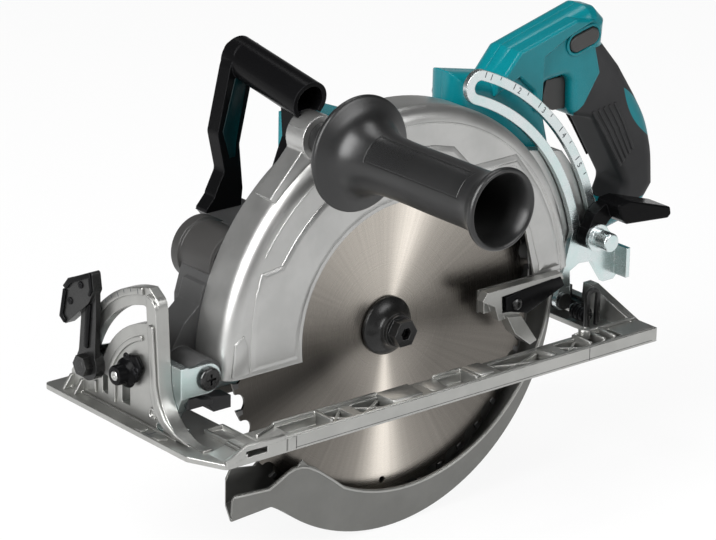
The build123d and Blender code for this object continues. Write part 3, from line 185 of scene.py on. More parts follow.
class Finish:
    """A procedural material, kept in FINISHES by its name."""

    def __init__(self, name):
        self.material = FINISHES[name] = bpy.data.materials.new(name)
        self.material.use_nodes = True
        self.tree = self.material.node_tree
        self.tree.nodes.clear()
        self.output = self.tree.nodes.new("ShaderNodeOutputMaterial")
        self.coordinates = None

    def node(self, kind, settings=None, sockets=None, output=0):
        """Add a node, make its settings, then fill or link its sockets."""
        made = self.tree.nodes.new(kind)
        for key, value in (settings or {}).items():
            setattr(made, key, value)
        for key, value in (sockets or {}).items():
            if isinstance(value, Wire):
                self.tree.links.new(value.socket, made.inputs[key])
            else:
                made.inputs[key].default_value = value
        return Wire(self, made.outputs[output])

    def place(self):
        """Object coordinates in metres."""
        if self.coordinates is None:
            self.coordinates = self.node("ShaderNodeTexCoord", output="Object")
        return self.coordinates

    def noise(self, scale, detail=2.0, roughness=0.5, vector=None):
        return self.node("ShaderNodeTexNoise", {}, {
            "Vector": vector or self.place(), "Scale": scale, "Detail": detail, "Roughness": roughness})

    def stretched(self, scale):
        return self.node("ShaderNodeMapping", {}, {"Vector": self.place(), "Scale": scale})

    def mix(self, factor, first, second):
        return self.node("ShaderNodeMix", {"data_type": "RGBA"}, {0: factor, 6: first, 7: second}, output=2)

    def part(self, axis):
        """One coordinate of the place."""
        return self.node("ShaderNodeSeparateXYZ", {}, {0: self.place()}, output=axis)

    def soft_edges(self, radius):
        """Normal that is rounded over sharp edges, and a mask that is 1 on those edges."""
        rounded = self.node("ShaderNodeBevel", {"samples": 4}, {"Radius": radius})
        flat = self.node("ShaderNodeNewGeometry", output="Normal")
        facing = self.node("ShaderNodeVectorMath", {"operation": "DOT_PRODUCT"},
                           {0: rounded, 1: flat}, output="Value")
        return rounded, (1.0 - facing).between(0.01, 0.16)

    def bump(self, height, distance, normal=None, strength=1.0):
        sockets = {"Height": height, "Distance": distance, "Strength": strength}
        if normal is not None:
            sockets["Normal"] = normal
        return self.node("ShaderNodeBump", {}, sockets)

    def end(self, shader):
        self.tree.links.new(shader.socket, self.output.inputs["Surface"])

    def surface(self, base, roughness, normal=None, metallic=0.0, specular=0.5):
        sockets = {"Base Color": base, "Roughness": roughness, "Metallic": metallic,
                   "Specular IOR Level": specular}
        if normal is not None:
            sockets["Normal"] = normal
        self.end(self.node("ShaderNodeBsdfPrincipled", {}, sockets))


def tint(shade, factor=1.0):
    return tuple(min(1.0, c * factor) for c in shade) + (1.0,)


def cast_metal(name, shade, roughness, metallic, grain, rounding, hollow=None):
    """Blasted casting under clear lacquer: fine grain, edges brightened as rubbed wear and as a painted
    highlight, and painted shade inside a hollow drum.
    """
    f = Finish(name)
    normal, edge = f.soft_edges(rounding)
    clouds = f.noise(26.0, 4.0, 0.6)
    pits = f.noise(grain, 2.0, 0.6)
    body = f.mix(clouds.between(0.3, 0.7), tint(shade, 0.90), tint(shade, 1.06))
    # Brighter edges: rubbed wear, and a painted edge highlight
    body = f.mix(edge * 0.75, body, tint(shade, 1.65))
    # Painted shade: inside the hollow drum the colour is darkened
    if hollow:
        x, z, radius, low, high = (length * MM for length in hollow)
        across, up, y = f.part("X") - x, f.part("Z") - z, f.part("Y")
        out = (across * across + up * up) ** 0.5
        blur = 0.0004
        inside = out.between(radius + blur, radius) * y.between(low, low + blur)
        body = f.mix(inside * y.between(high, high - blur), body, tint(shade, 0.12))
    rough = roughness + (clouds - 0.5) * 0.12 + (pits - 0.5) * 0.16 - edge * 0.10
    f.surface(body, rough, f.bump(pits, 0.00006, normal, 0.55), metallic)


def plated_steel(name, shade, roughness, rounding):
    """Bright zinc with the mottled blue and green cast of its passivation."""
    f = Finish(name)
    normal, edge = f.soft_edges(rounding)
    mottle = f.noise(55.0, 5.0, 0.62)
    drawn = f.noise(1.0, 2.0, 0.5, f.stretched((60.0, 900.0, 900.0)))
    body = f.mix(mottle.between(0.32, 0.68), tint((shade[0] * 0.90, shade[1] * 0.98, shade[2] * 0.97)),
                 tint((shade[0] * 1.08, shade[1] * 1.03, shade[2] * 1.04)))
    body = f.mix(edge * 0.4, body, (0.88, 0.92, 0.92, 1.0))
    rough = roughness + (mottle - 0.5) * 0.18 + (drawn - 0.5) * 0.08
    f.surface(body, rough, f.bump(drawn, 0.00003, normal, 0.4), 1.0)


def moulded(name, shade, roughness, grain, rounding, depth=0.00004, edge_wear_and_highlight=1.5, gloss=0.3):
    """Moulded plastic with a spark eroded grain, and edges made paler as slight polish and as a painted edge
    highlight.
    """
    f = Finish(name)
    normal, edge = f.soft_edges(rounding)
    grains = f.noise(grain, 3.0, 0.65)
    clouds = f.noise(18.0, 3.0, 0.55)
    body = f.mix(clouds.between(0.3, 0.7), tint(shade, 0.92), tint(shade, 1.08))
    # Paler edges: slight polish, and a painted edge highlight
    body = f.mix(edge * 0.5, body, tint(shade, edge_wear_and_highlight))
    rough = roughness + (grains - 0.5) * 0.14 + (clouds - 0.5) * 0.08 - edge * 0.08
    f.surface(body, rough, f.bump(grains, depth, normal, 0.6), 0.0, specular=gloss)


def rubbed_rubber(name, shade, inlay):
    """Soft grip rubber: matt, finely pebbled, with a leaf of housing colour on each side of the palm."""
    f = Finish(name)
    normal, edge = f.soft_edges(0.0012)
    pebbles = f.node("ShaderNodeTexVoronoi", {"feature": "F1"},
                     {"Vector": f.place(), "Scale": 1400.0}, output="Distance")
    clouds = f.noise(30.0, 3.0, 0.6)
    body = f.mix(clouds.between(0.3, 0.75), tint(shade, 0.85), tint(shade, 1.25))
    body = f.mix(edge * 0.35, body, tint(shade, 1.8))
    middle, half_length, half_width = Vector((-0.2515, -0.040, 0.1305)), 0.0255, 0.0058
    run_x, run_z = -0.577, -0.818
    x, y, z = f.part("X") - middle.x, f.part("Y") - middle.y, f.part("Z") - middle.z
    along = x * run_x + z * run_z
    across = x * -run_z + z * run_x
    half = (1.0 - (along / half_length) ** 2.0) * half_width
    leaf = (half - across.size()).between(-0.0002, 0.0002) * y.size().between(0.0078, 0.0082)
    body = f.mix(leaf, body, tint(inlay))
    rough = 0.62 + (clouds - 0.5) * 0.12 - edge * 0.08 - leaf * 0.2
    f.surface(body, rough, f.bump(pebbles, 0.00005, normal, 0.5), 0.0, specular=0.3)


def grip_tube(name, shade, axis):
    """Moulded side grip with a long flat panel let in along its upper side."""
    f = Finish(name)
    normal, edge = f.soft_edges(0.0010)
    grains = f.noise(2300.0, 3.0, 0.65)
    clouds = f.noise(18.0, 3.0, 0.55)
    across, up = f.part("X") - axis[0] * MM, f.part("Z") - axis[1] * MM
    toward, radius, middle, half_width, half_length = 0.80, 0.0193, 0.120, 0.0098, 0.044
    around = (up.maths("ARCTAN2", up, across) - toward) * radius
    along = f.part("Y") - middle
    far = along.maths("MAXIMUM", around.size() - half_width, along.size() - half_length)
    panel = far.between(0.0004, -0.0004)
    groove = far.size().between(0.0007, 0.0002)
    body = f.mix(clouds.between(0.3, 0.7), tint(shade, 0.92), tint(shade, 1.08))
    body = f.mix(edge * 0.5, body, tint(shade, 1.6))
    # Painted shade: the groove round the panel is darkened
    body = f.mix(groove * 0.6, body, tint(shade, 0.4))
    # Painted shade: the bore inside the grip's mouth is darkened nearly to black
    bore = ((across * across + up * up) ** 0.5).between(0.0200, 0.0176) * f.part("Y").between(0.110, 0.121)
    body = f.mix(bore, body, tint(shade, 0.06))
    rough = 0.34 + (grains - 0.5) * 0.14 + (clouds - 0.5) * 0.08 - panel * 0.06 + bore * 0.4
    height = grains * 0.08 - groove
    f.surface(body, rough, f.bump(height, 0.0004, normal, 0.7), 0.0, specular=0.52)


def dark_steel(name, shade, roughness):
    """Black oxide steel: dark, a little metallic, grey where it is rubbed."""
    f = Finish(name)
    normal, edge = f.soft_edges(0.0006)
    specks = f.noise(900.0, 3.0, 0.6)
    clouds = f.noise(60.0, 3.0, 0.6)
    body = f.mix(clouds.between(0.3, 0.7), tint(shade, 0.8), tint(shade, 1.3))
    body = f.mix(edge * 0.45, body, (0.13, 0.13, 0.13, 1.0))
    rough = roughness + (specks - 0.5) * 0.2
    f.surface(body, rough, f.bump(specks, 0.00003, normal, 0.4), 0.40)


def turned_steel(name, shade, roughness):
    """Machined steel with fine tool marks."""
    f = Finish(name)
    normal, edge = f.soft_edges(0.0004)
    marks = f.noise(1.0, 2.0, 0.6, f.stretched((300.0, 5200.0, 300.0)))
    body = f.mix(marks.between(0.3, 0.7), tint(shade, 0.86), tint(shade, 1.10))
    body = f.mix(edge * 0.5, body, tint(shade, 1.4))
    rough = roughness + (marks - 0.5) * 0.2
    f.surface(body, rough, f.bump(marks, 0.00002, normal, 0.4), 1.0)


def ground_blade(name, shade):
    """Ground saw steel: rings about the arbor, painted highlight fans where such rings throw light, and a
    painted dark reflection to one side.
    """
    f = Finish(name)
    across = f.part("X")
    up = f.part("Z") - ARBOR.z * MM
    out = (across * across + up * up) ** 0.5
    angle = up.maths("ARCTAN2", up, across)

    def streaks(along, detail):
        return f.node("ShaderNodeTexNoise", {"noise_dimensions": "1D"}, {"W": along, "Detail": detail})

    def fan(toward, width):
        """1 in one direction from the arbor, fading over a width, in degrees."""
        return ((angle - math.radians(toward)).cosine() * 0.5 + 0.5) ** (4.0 / math.radians(width) ** 2)

    rings, wide_rings, rays = streaks(out * 2600.0, 3.0), streaks(out * 240.0, 3.0), streaks(angle * 5.5, 4.0)
    # Painted light: a dim ground, and painted highlight fans up and down from the arbor
    light = 0.13 + rays * 0.03
    for toward, width, strength in ((107.0, 11.0, 0.46), (88.0, 58.0, 0.34),
                                    (-90.0, 8.5, 0.58), (-93.0, 28.0, 0.16)):
        light = light + fan(toward, width) * strength
    # Painted dark reflection: the fan at -16 degrees darkens the steel
    light = light * (1.0 - fan(-16.0, 13.0) * 0.75) * (0.91 + rays * 0.18)
    near = out.between(0.060, 0.020)
    body = f.mix(light, tint(shade, 0.0), tint(shade))
    body = f.mix(near * 0.30, body, tint(shade, 0.5))
    body = f.mix((rings - 0.5).between(0.0, 0.5) * 0.30, body, tint(shade, 0.10))
    rough = 0.30 + (rings - 0.5) * 0.20 + (wide_rings - 0.5) * 0.10 - light * 0.05
    f.surface(body, rough, f.bump(rings, 0.00002, None, 0.35), 1.0)


def laminated_iron(name):
    """Stacked motor iron."""
    f = Finish(name)
    sheets = (f.part("Y") * 9000.0).sine().between(-0.4, 0.4)
    body = f.mix(sheets, (0.10, 0.09, 0.085, 1.0), (0.30, 0.29, 0.28, 1.0))
    f.surface(body, 0.45 + sheets * 0.1, f.bump(sheets, 0.0001, None, 0.4), 0.9)


def printed(name, shade):
    """Ink of a scale, a little uneven."""
    f = Finish(name)
    spread = f.noise(1500.0, 2.0, 0.6)
    body = f.mix(spread.between(0.3, 0.75), tint(shade), tint(shade, 2.0))
    f.surface(body, 0.55 + spread * 0.1)


def make_finishes(c):
    """All finishes by the record's slot names, and a few for the trim."""
    cast_metal("cast_alloy", c.casting, roughness=0.35, metallic=0.94, grain=2600.0, rounding=0.0010)
    cast_metal("guard_casting", c.guard, roughness=0.35, metallic=0.90, grain=3200.0, rounding=0.0012,
               hollow=(*GUARD_CENTRE, 137.0, -15.4, 12.9))
    cast_metal("gear_casting", c.case, roughness=0.44, metallic=0.35, grain=2400.0, rounding=0.0012)
    cast_metal("guard_steel", c.lower_guard, roughness=0.40, metallic=0.85, grain=3600.0, rounding=0.0008)
    cast_metal("lever_steel", c.lever, roughness=0.34, metallic=0.90, grain=3000.0, rounding=0.0008)
    plated_steel("zinc_steel", c.zinc, roughness=0.26, rounding=0.0009)
    dark_steel("black_steel", (0.012, 0.012, 0.012), roughness=0.30)
    ground_blade("blade_steel", c.blade)
    turned_steel("machined_steel", (0.50, 0.50, 0.49), roughness=0.30)
    turned_steel("dark_screw", (0.060, 0.060, 0.060), roughness=0.28)
    turned_steel("carbide", (0.11, 0.11, 0.11), roughness=0.42)
    moulded("black_plastic", c.black, roughness=0.24, grain=1900.0, rounding=0.0011, edge_wear_and_highlight=9.0, gloss=0.055)
    moulded("grey_plastic", c.grip, roughness=0.36, grain=2300.0, rounding=0.0010, edge_wear_and_highlight=2.2, gloss=0.5)
    moulded("teal_plastic", c.housing, roughness=0.27, grain=2000.0, rounding=0.0016, gloss=0.34)
    moulded("button_plastic", (0.034, 0.033, 0.032), roughness=0.40, grain=2300.0, rounding=0.0010,
            edge_wear_and_highlight=2.0, gloss=0.4)
    # Housing teal darkened as painted shade, for the inlay on the front handle's far leg
    moulded("deep_inlay", tint(c.housing, 0.055)[:3], roughness=0.36, grain=2000.0, rounding=0.0006,
            depth=0.00005)
    rubbed_rubber("grip_rubber", (0.020, 0.020, 0.021), c.housing)
    grip_tube("side_grip", c.grip, axis=(65.0, 180.0))
    laminated_iron("motor_iron")
    printed("scale_ink", (0.02, 0.025, 0.03))


# Modelling by hand

def clear_selection():
    bpy.ops.object.select_all(action="DESELECT")


def take_up(piece):
    """Select one piece alone."""
    clear_selection()
    piece.select_set(True)
    bpy.context.view_layer.objects.active = piece


def settle(piece):
    """Put the piece's place into its mesh."""
    take_up(piece)
    bpy.ops.object.transform_apply(location=True, rotation=True, scale=True)
    return piece


@contextmanager
def editing(piece):
    """Edit mode on one piece, with all of it selected."""
    take_up(piece)
    bpy.ops.object.mode_set(mode="EDIT")
    bpy.ops.mesh.select_all(action="SELECT")
    yield
    bpy.ops.object.mode_set(mode="OBJECT")


def tidy_mesh(piece):
    """Merge doubles and turn all faces outwards."""
    with editing(piece):
        bpy.ops.mesh.remove_doubles(threshold=SAME_POINT)
        bpy.ops.mesh.normals_make_consistent(inside=False)
    return piece


def pick_faces(piece, direction):
    """In edit mode, select only the faces that look in a direction."""
    bpy.ops.mesh.select_mode(type="FACE")
    bpy.ops.mesh.select_all(action="DESELECT")
    mesh = bmesh.from_edit_mesh(piece.data)
    for face in mesh.faces:
        face.select_set(face.normal.dot(direction) > 0.9)
    bmesh.update_edit_mesh(piece.data)


def draw(name, points, closed=True):
    """Merge a small plane to one point, then draw an outline from it, point by point, in millimetres."""
    clear_selection()
    points = [Vector(p) * MM for p in points]
    bpy.ops.mesh.primitive_plane_add(size=2.0 * MM, location=points[0])
    piece = settle(bpy.context.object)
    piece.name = piece.data.name = name
    with editing(piece):
        bpy.ops.mesh.select_mode(type="VERT")
        bpy.ops.mesh.select_all(action="SELECT")
        bpy.ops.mesh.merge(type="CENTER")
        for here, there in zip(points, points[1:] + (points[:1] if closed else [])):
            bpy.ops.mesh.extrude_vertices_move(TRANSFORM_OT_translate={"value": there - here})
        bpy.ops.mesh.select_all(action="SELECT")
        bpy.ops.mesh.remove_doubles(threshold=SAME_POINT)
        if closed:
            bpy.ops.mesh.select_all(action="SELECT")
            bpy.ops.mesh.edge_face_add()
    return piece


PLANES = {
    "X": lambda a, b, level: (level, a, b),
    "Y": lambda a, b, level: (a, level, b),
    "Z": lambda a, b, level: (a, b, level),
}


def slab(name, outline, axis, low, high, edge=0.0, segments=2):
    """Plate with an outline square to an axis, from low to high along it, in millimetres."""
    piece = draw(name, [PLANES[axis](a, b, low) for a, b in outline])
    rise = Vector(PLANES[axis](0.0, 0.0, high - low)) * MM
    with editing(piece):
        bpy.ops.mesh.extrude_region_move(TRANSFORM_OT_translate={"value": rise})
    tidy_mesh(piece)
    if edge:
        round_edges(piece, edge, segments)
    return piece


def turned(name, profile, centre, axis, steps=64):
    """Profile of (radius, along) in millimetres spun about an axis through a centre."""
    lead = Vector((0.0, 0.0, 1.0) if axis == "X" else (1.0, 0.0, 0.0))
    along = Vector(PLANES[axis](0.0, 0.0, 1.0))
    centre = Vector(centre)
    piece = draw(name, [centre + lead * r + along * a for r, a in profile], closed=False)
    with editing(piece):
        bpy.ops.mesh.spin(steps=steps, angle=math.tau, center=centre * MM, axis=along)
    return smooth(tidy_mesh(piece))


def flowing(points, steps=4):
    """More points along a smooth line through the given ones."""
    points = [Vector(p) for p in points]
    line = [points[0]]
    for i in range(len(points) - 1):
        before, here, there = points[max(i - 1, 0)], points[i], points[i + 1]
        after = points[min(i + 2, len(points) - 1)]
        for k in range(1, steps + 1):
            t = k / steps
            line.append(0.5 * (2 * here + (there - before) * t
                               + (2 * before - 5 * here + 4 * there - after) * t ** 2
                               + (3 * here - before - 3 * there + after) * t ** 3))
    return line


def round_edges(piece, width, segments=2, angle=28.0):
    """Bevel modifier over the sharp edges, applied."""
    take_up(piece)
    bevel = piece.modifiers.new("Edge", "BEVEL")
    bevel.width = width * MM
    bevel.segments = segments
    bevel.limit_method = "ANGLE"
    bevel.angle_limit = math.radians(angle)
    bpy.ops.object.modifier_apply(modifier=bevel.name)
    return smooth(piece)


def smooth(piece, angle=32.0):
    """Smooth shading, apart from edges sharper than an angle."""
    take_up(piece)
    bpy.ops.object.shade_smooth_by_angle(angle=math.radians(angle))
    return piece


def copy_of(piece, name, move):
    """Copy with its own mesh, moved by a matrix."""
    twin = piece.copy()
    twin.data = piece.data.copy()
    twin.name = name
    bpy.context.collection.objects.link(twin)
    twin.data.transform(move)
    return twin


def joined(pieces, name):
    """Pieces joined into the first."""
    clear_selection()
    for piece in pieces:
        piece.select_set(True)
    bpy.context.view_layer.objects.active = pieces[0]
    if len(pieces) > 1:
        bpy.ops.object.join()
    piece = bpy.context.object
    piece.name = piece.data.name = name
    return piece


def dress(piece, finish, body, replaced=()):
    """Give a piece its finish and the body it rides on, and hide the parts that it replaces."""
    piece.data.materials.clear()
    piece.data.materials.append(FINISHES[finish])
    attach(piece, body)
    if replaced:
        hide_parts(*replaced)


def polar(centre, radius, degrees):
    return (centre[0] + radius * math.cos(math.radians(degrees)),
            centre[1] + radius * math.sin(math.radians(degrees)))


def arc_band(centre, inner, outer, start, end, steps):
    """Outline of a flat band along an arc."""
    spread = [start + (end - start) * i / steps for i in range(steps + 1)]
    return [polar(centre, outer, a) for a in spread] + [polar(centre, inner, a) for a in reversed(spread)]


def strip(name, start, end, width, axis, low, high, edge=0.0):
    """Straight rib from one point to another."""
    start, end = Vector(start), Vector(end)
    across = (end - start).normalized().orthogonal() * width / 2
    return slab(name, [start + across, end + across, end - across, start - across], axis, low, high, edge)


def tray(name, outline, axis, low, high, wall, depth):
    """Plate whose top is sunk inside a rim."""
    piece = slab(name, outline, axis, low, high)
    rise = Vector(PLANES[axis](0.0, 0.0, 1.0))
    with editing(piece):
        pick_faces(piece, rise)
        bpy.ops.mesh.inset(thickness=wall * MM)
        bpy.ops.mesh.extrude_region_move(TRANSFORM_OT_translate={"value": rise * -depth * MM})
    return round_edges(tidy_mesh(piece), 0.4)


def raised_panel(name, outline, axis, low, high, border, rise):
    """Plate whose top stands on a sloping border."""
    piece = slab(name, outline, axis, low, high)
    up = Vector(PLANES[axis](0.0, 0.0, math.copysign(1.0, high - low)))
    with editing(piece):
        pick_faces(piece, up)
        bpy.ops.mesh.inset(thickness=border * MM, depth=rise * MM)
    return round_edges(tidy_mesh(piece), 0.25, angle=8.0)


def half_slot(centre, length, width, inner, outer, degrees):
    """Outline of half a ring round a slot, set off from the slot by two gaps."""
    end = ((length - width) / 2, 0.0)
    inner, outer = width / 2 + inner, width / 2 + outer
    spread = range(-90, 91, 15)
    points = [(0.0, -outer)] + [polar(end, outer, a) for a in spread] + [(0.0, outer)]
    points += [(0.0, inner)] + [polar(end, inner, -a) for a in spread] + [(0.0, -inner)]
    turn = Matrix.Rotation(math.radians(degrees), 2)
    return [Vector(centre) + turn @ Vector(p) for p in points]


def tilt_matrix(centre, axis, degrees):
    """Turn about an axis through a centre given in millimetres."""
    home = Matrix.Translation(centre * MM)
    return home @ Matrix.Rotation(math.radians(degrees), 4, axis) @ home.inverted()


# Operators, one for each group of pieces

OWN_FINISH = {
    "stator": "motor_iron",
    "rotor_core": "motor_iron",
    "depth_pivot_screw": "dark_screw",
    "side_grip": "side_grip",
    "dust_port": "button_plastic",
    "lock_off_button": "button_plastic",
    "trigger": "button_plastic",
}


class SAW_OT_finishes(Operator):
    """Give every solid of the saw its finish"""
    bl_idname = "saw.finishes"
    bl_label = "Finishes"

    def execute(self, context):
        make_finishes(context.scene.saw_colours)
        slots = {row["node"]: row["material_slot"] for row in frame["record"]["subparts"]}
        for name, node in frame["nodes"].items():
            node.data.materials.clear()
            node.data.materials.append(FINISHES[OWN_FINISH.get(name, slots[name])])
        return {"FINISHED"}


def lay_floor(look):
    """Plain floor that shows and mirrors as white paper, and still takes the saw's shadow."""
    clear_selection()
    height = CAD_BOX[0][2] - FLOOR_GAP
    bpy.ops.mesh.primitive_plane_add(size=look.floor_reach, location=(*FLOOR_MIDDLE, height))
    floor = settle(bpy.context.object)
    floor.name = "floor"
    f = Finish("floor_paper")
    camera, glossy, through = [f.node("ShaderNodeLightPath", output="Is %s Ray" % kind)
                               for kind in ("Camera", "Glossy", "Transmission")]
    seen = (camera + glossy + through).between(0.0, 1.0)
    shade = look.floor_shade
    paper = f.noise(3.0, 2.0, 0.5)
    tone = f.mix(paper, (shade, shade, shade, 1.0), (shade * 0.985, shade * 0.99, shade * 0.99, 1.0))
    matt = f.node("ShaderNodeBsdfDiffuse", {}, {"Color": tone})
    glow = f.node("ShaderNodeEmission", {}, {"Color": (1.0, 1.0, 1.0, 1.0), "Strength": 1.0})
    f.end(f.node("ShaderNodeMixShader", {}, {0: seen * 0.90, 1: matt, 2: glow}))
    floor.data.materials.append(f.material)


def light_room(look):
    """Room that is white low down and dim overhead, with a lamp at each place."""
    world = bpy.data.worlds.new("studio_room")
    bpy.context.scene.world = world
    world.use_nodes = True
    tree = world.node_tree
    sky = tree.nodes["Background"]
    sky.inputs["Strength"].default_value = look.room_level
    toward = tree.nodes.new("ShaderNodeTexCoord")
    height = tree.nodes.new("ShaderNodeSeparateXYZ")
    fade = tree.nodes.new("ShaderNodeValToRGB")
    for stop, position, level in zip(fade.color_ramp.elements, (0.04, 0.45), (1.0, 0.12)):
        stop.position = position
        stop.color = (level, level, level, 1.0)
    tree.links.new(toward.outputs["Generated"], height.inputs[0])
    tree.links.new(height.outputs["Z"], fade.inputs[0])
    tree.links.new(fade.outputs[0], sky.inputs["Color"])
    for name, across, along, place in LAMPS:
        lamp = bpy.data.lights.new(name, "AREA")
        lamp.energy = getattr(look, name + "_power")
        lamp.shape = "RECTANGLE"
        lamp.size, lamp.size_y = across, along
        holder = bpy.data.objects.new(name, lamp)
        holder.location = place
        holder.rotation_euler = (LAMP_AIM - Vector(place)).to_track_quat("-Z", "Y").to_euler()
        bpy.context.collection.objects.link(holder)


class SAW_OT_stage(Operator):
    """Floor, lights, world and the camera at the photograph's place"""
    bl_idname = "saw.stage"
    bl_label = "Stage"

    def execute(self, context):
        lay_floor(context.scene.saw_stage)
        light_room(context.scene.saw_stage)
        lens = bpy.data.cameras.new("photo_camera")
        lens.sensor_fit = "HORIZONTAL"
        lens.sensor_width = SENSOR_WIDTH
        lens.lens = SENSOR_WIDTH * PHOTO_FOCAL / PHOTO_WIDTH
        lens.clip_end = 50.0
        camera = bpy.data.objects.new("photo_camera", lens)
        camera.matrix_world = CAMERA_PLACE
        context.collection.objects.link(camera)
        context.scene.camera = camera
        context.scene.view_settings.view_transform = "Standard"
        return {"FINISHED"}


def numeral(value, height):
    """Number as a thin mesh, lying flat at the origin."""
    clear_selection()
    bpy.ops.object.text_add()
    text = bpy.context.object.data
    text.body = str(value)
    text.size = height
    text.align_x = "CENTER"
    text.extrude = 0.04 * MM
    bpy.ops.object.convert(target="MESH")
    return bpy.context.object


class SAW_OT_depth_scale(Operator):
    """Scale lines and plain numbers on the depth guide"""
    bl_idname = "saw.depth_scale"
    bl_label = "Depth scale"

    def execute(self, context):
        trim = context.scene.saw_trim
        centre, face = (-22.7, 27.4), -4.3
        outer, middle, long_end, short_end, digit_foot = 179.4, 178, 175.2, 177, 174.6
        first, step, digit_turn = 111.8, 4.78, 1.9
        half = math.degrees(trim.tick_width / MM / 2 / middle)
        lines, numbers = [], []
        for i in range(11):
            angle = first + step * i
            outline = arc_band(centre, short_end if i % 2 else long_end, outer, angle - half, angle + half, 1)
            lines.append(slab("tick", outline, "Y", face + 0.02, face + 0.12))
            if i % 2:
                continue
            number = numeral(1 + i // 2, trim.digit_height)
            theta = math.radians(angle + digit_turn)
            outward = Vector((math.cos(theta), 0, math.sin(theta)))
            across = Vector((-math.sin(theta), 0, math.cos(theta)))
            foot = Vector((centre[0], face + 0.06, centre[1])) + outward * digit_foot
            number.data.transform(Matrix((
                (across.x, outward.x, 0, foot.x * MM),
                (0, 0, 1, foot.y * MM),
                (across.z, outward.z, 0, foot.z * MM),
                (0, 0, 0, 1))))
            numbers.append(number)
        dress(joined(lines, "depth_scale_lines"), "scale_ink", "depth_guide")
        dress(joined(numbers, "depth_scale_numbers"), "scale_ink", "depth_guide")
        return {"FINISHED"}


class SAW_OT_base_rail(Operator):
    """Webs, walls, pads and lips in the base's rail, the wall and roof of its slot, a post and seams"""
    bl_idname = "saw.base_rail"
    bl_label = "Base rail"

    def execute(self, context):
        rib = context.scene.saw_trim.rib_width / MM
        near, far, lip, bead = 48.4, 67, 49, 68.4
        slot_top = 8.65
        webs = []
        for front, rear in ((72.5, 49), (97, 81.5), (-48, -91.5), (-107.5, -127)):
            for start, end, top in ((52, 66, 8.4), (66, 52, 8.2)):
                webs.append(strip("web", (front, start), (rear, end), rib, "Z", SOLE, top, 0.6))
        for place in (99, -25.5, -128.5, -141.5, -151):
            webs.append(strip("wall", (place, near), (place, far), 2.4, "Z", SOLE, 12.2, 0.6))
        for rear, front, top in ((20.6, 48.6, 12), (-2, 13.4, 10.3),
                                 (-42, -27, 12.4), (-99.4, -92, 10.4)):
            pad = [(rear, near + 0.2), (front, near + 0.2), (front - 1.5, far), (rear + 1.5, far)]
            webs.append(slab("pad", pad, "Z", SOLE, top, 0.8))
        for rear, front in ((48, 134), (-26, -1), (-186, -130)):
            webs.append(strip("lip", (rear, lip), (front, lip), 1.9, "Z", 9.8, 12.4, 0.5))
        webs.append(strip("lip", (133.6, lip), (153, 57), 1.9, "Z", 9.6, 11.6, 0.5))
        webs.append(strip("bead", (-186, bead), (150, bead), 2.4, "Z", 9.7, 10.9, 0.5))
        roof = [(152, slot_top), (152, 9.7), (166, 9.7), (171.6, 8.2), (171.6, 6.4), (170.2, slot_top)]
        webs.append(slab("roof", roof, "Y", near, 67.6))
        wall = [(150, slot_top), (139.6, 9.2), (139.6, 12.2), (170.4, 12.6), (186.6, 5.6), (186.6, 1.4),
                (172, 4.6), (171, slot_top)]
        webs.append(slab("slot_wall", wall, "Y", 67.2, RAIL_SIDE + 0.2, 0.35))
        boss = [(131.4, 0.9), (131.4, 9.9), (137.6, 9.9), (137.6, 0.9)]
        webs.append(slab("boss", boss, "Y", RAIL_SIDE - 0.2, RAIL_SIDE + 0.5, 0.3))
        post = [(4.2, 9.8), (4.2, 15.4), (3.4, 16.2), (2, 16.3), (1.6, 11), (0, 11)]
        webs.append(turned("post", post, (-135, 53, 0), "Z", 32))
        dress(joined(webs, "base_rail_webs"), "cast_alloy", "base")

        seams = [strip("seam", (place, 0.7), (place, 9.4), 0.5, "Y", RAIL_SIDE - 0.02, RAIL_SIDE + 0.04)
                 for place in (130.6, 138.4, -124.7)]
        seams.append(strip("seam", (-184, 1.6), (132, 1.6), 0.35, "Y", RAIL_SIDE - 0.02, RAIL_SIDE + 0.03))
        dress(joined(seams, "base_rail_seams"), "dark_screw", "base")
        return {"FINISHED"}


class SAW_OT_base_front(Operator):
    """Small frame, marks, gussets, ribs and sight lines on the base"""
    bl_idname = "saw.base_front"
    bl_label = "Base front"

    def execute(self, context):
        corners = [(151.5, 20), (167, 20), (167, 46.5), (151.5, 46.5)]
        pieces = [tray("frame", corners, "Z", SOLE, 6.6, wall=1.9, depth=3)]
        for outline in ([(192.5, -16), (198.2, -13), (198.2, -5.5), (192.5, -5.5)],
                        [(192.5, 6.5), (198.2, 6.5), (198.2, 13), (192.5, 16)]):
            pieces.append(slab("mark", outline, "Z", SOLE, 4.5, 0.4))
        gusset = [(186.5, SOLE), (195, SOLE), (188.5, 12.5), (186.5, 12.5)]
        for near in (-83.8, -95.8):
            pieces.append(slab("gusset", gusset, "Y", near - 2.6, near, 0.5))
        pieces.append(strip("rib", (188.5, -104), (188.5, 20), 2, "Z", SOLE, 4.6, 0.5))
        ribs = [((20, -108), (176, -108)), ((-150, -70), (150, -70))]
        ribs += [((place, -108), (place, -37)) for place in (-120, -40, 40, 120)]
        for start, end in ribs:
            pieces.append(strip("rib", start, end, 2.4, "Z", SOLE, 5.4, 0.6))
        dress(joined(pieces, "base_front_forms"), "cast_alloy", "base")
        low, high = SOLE + 0.08, SOLE + 0.14
        sight = [strip("sight", (198, 0), (190, 0), 0.8, "Z", low, high)]
        for place in (-4, -2, 2, 4):
            sight.append(strip("sight", (198, place), (195, place), 0.5, "Z", low, high))
        dress(joined(sight, "base_sight_lines"), "scale_ink", "base")
        return {"FINISHED"}


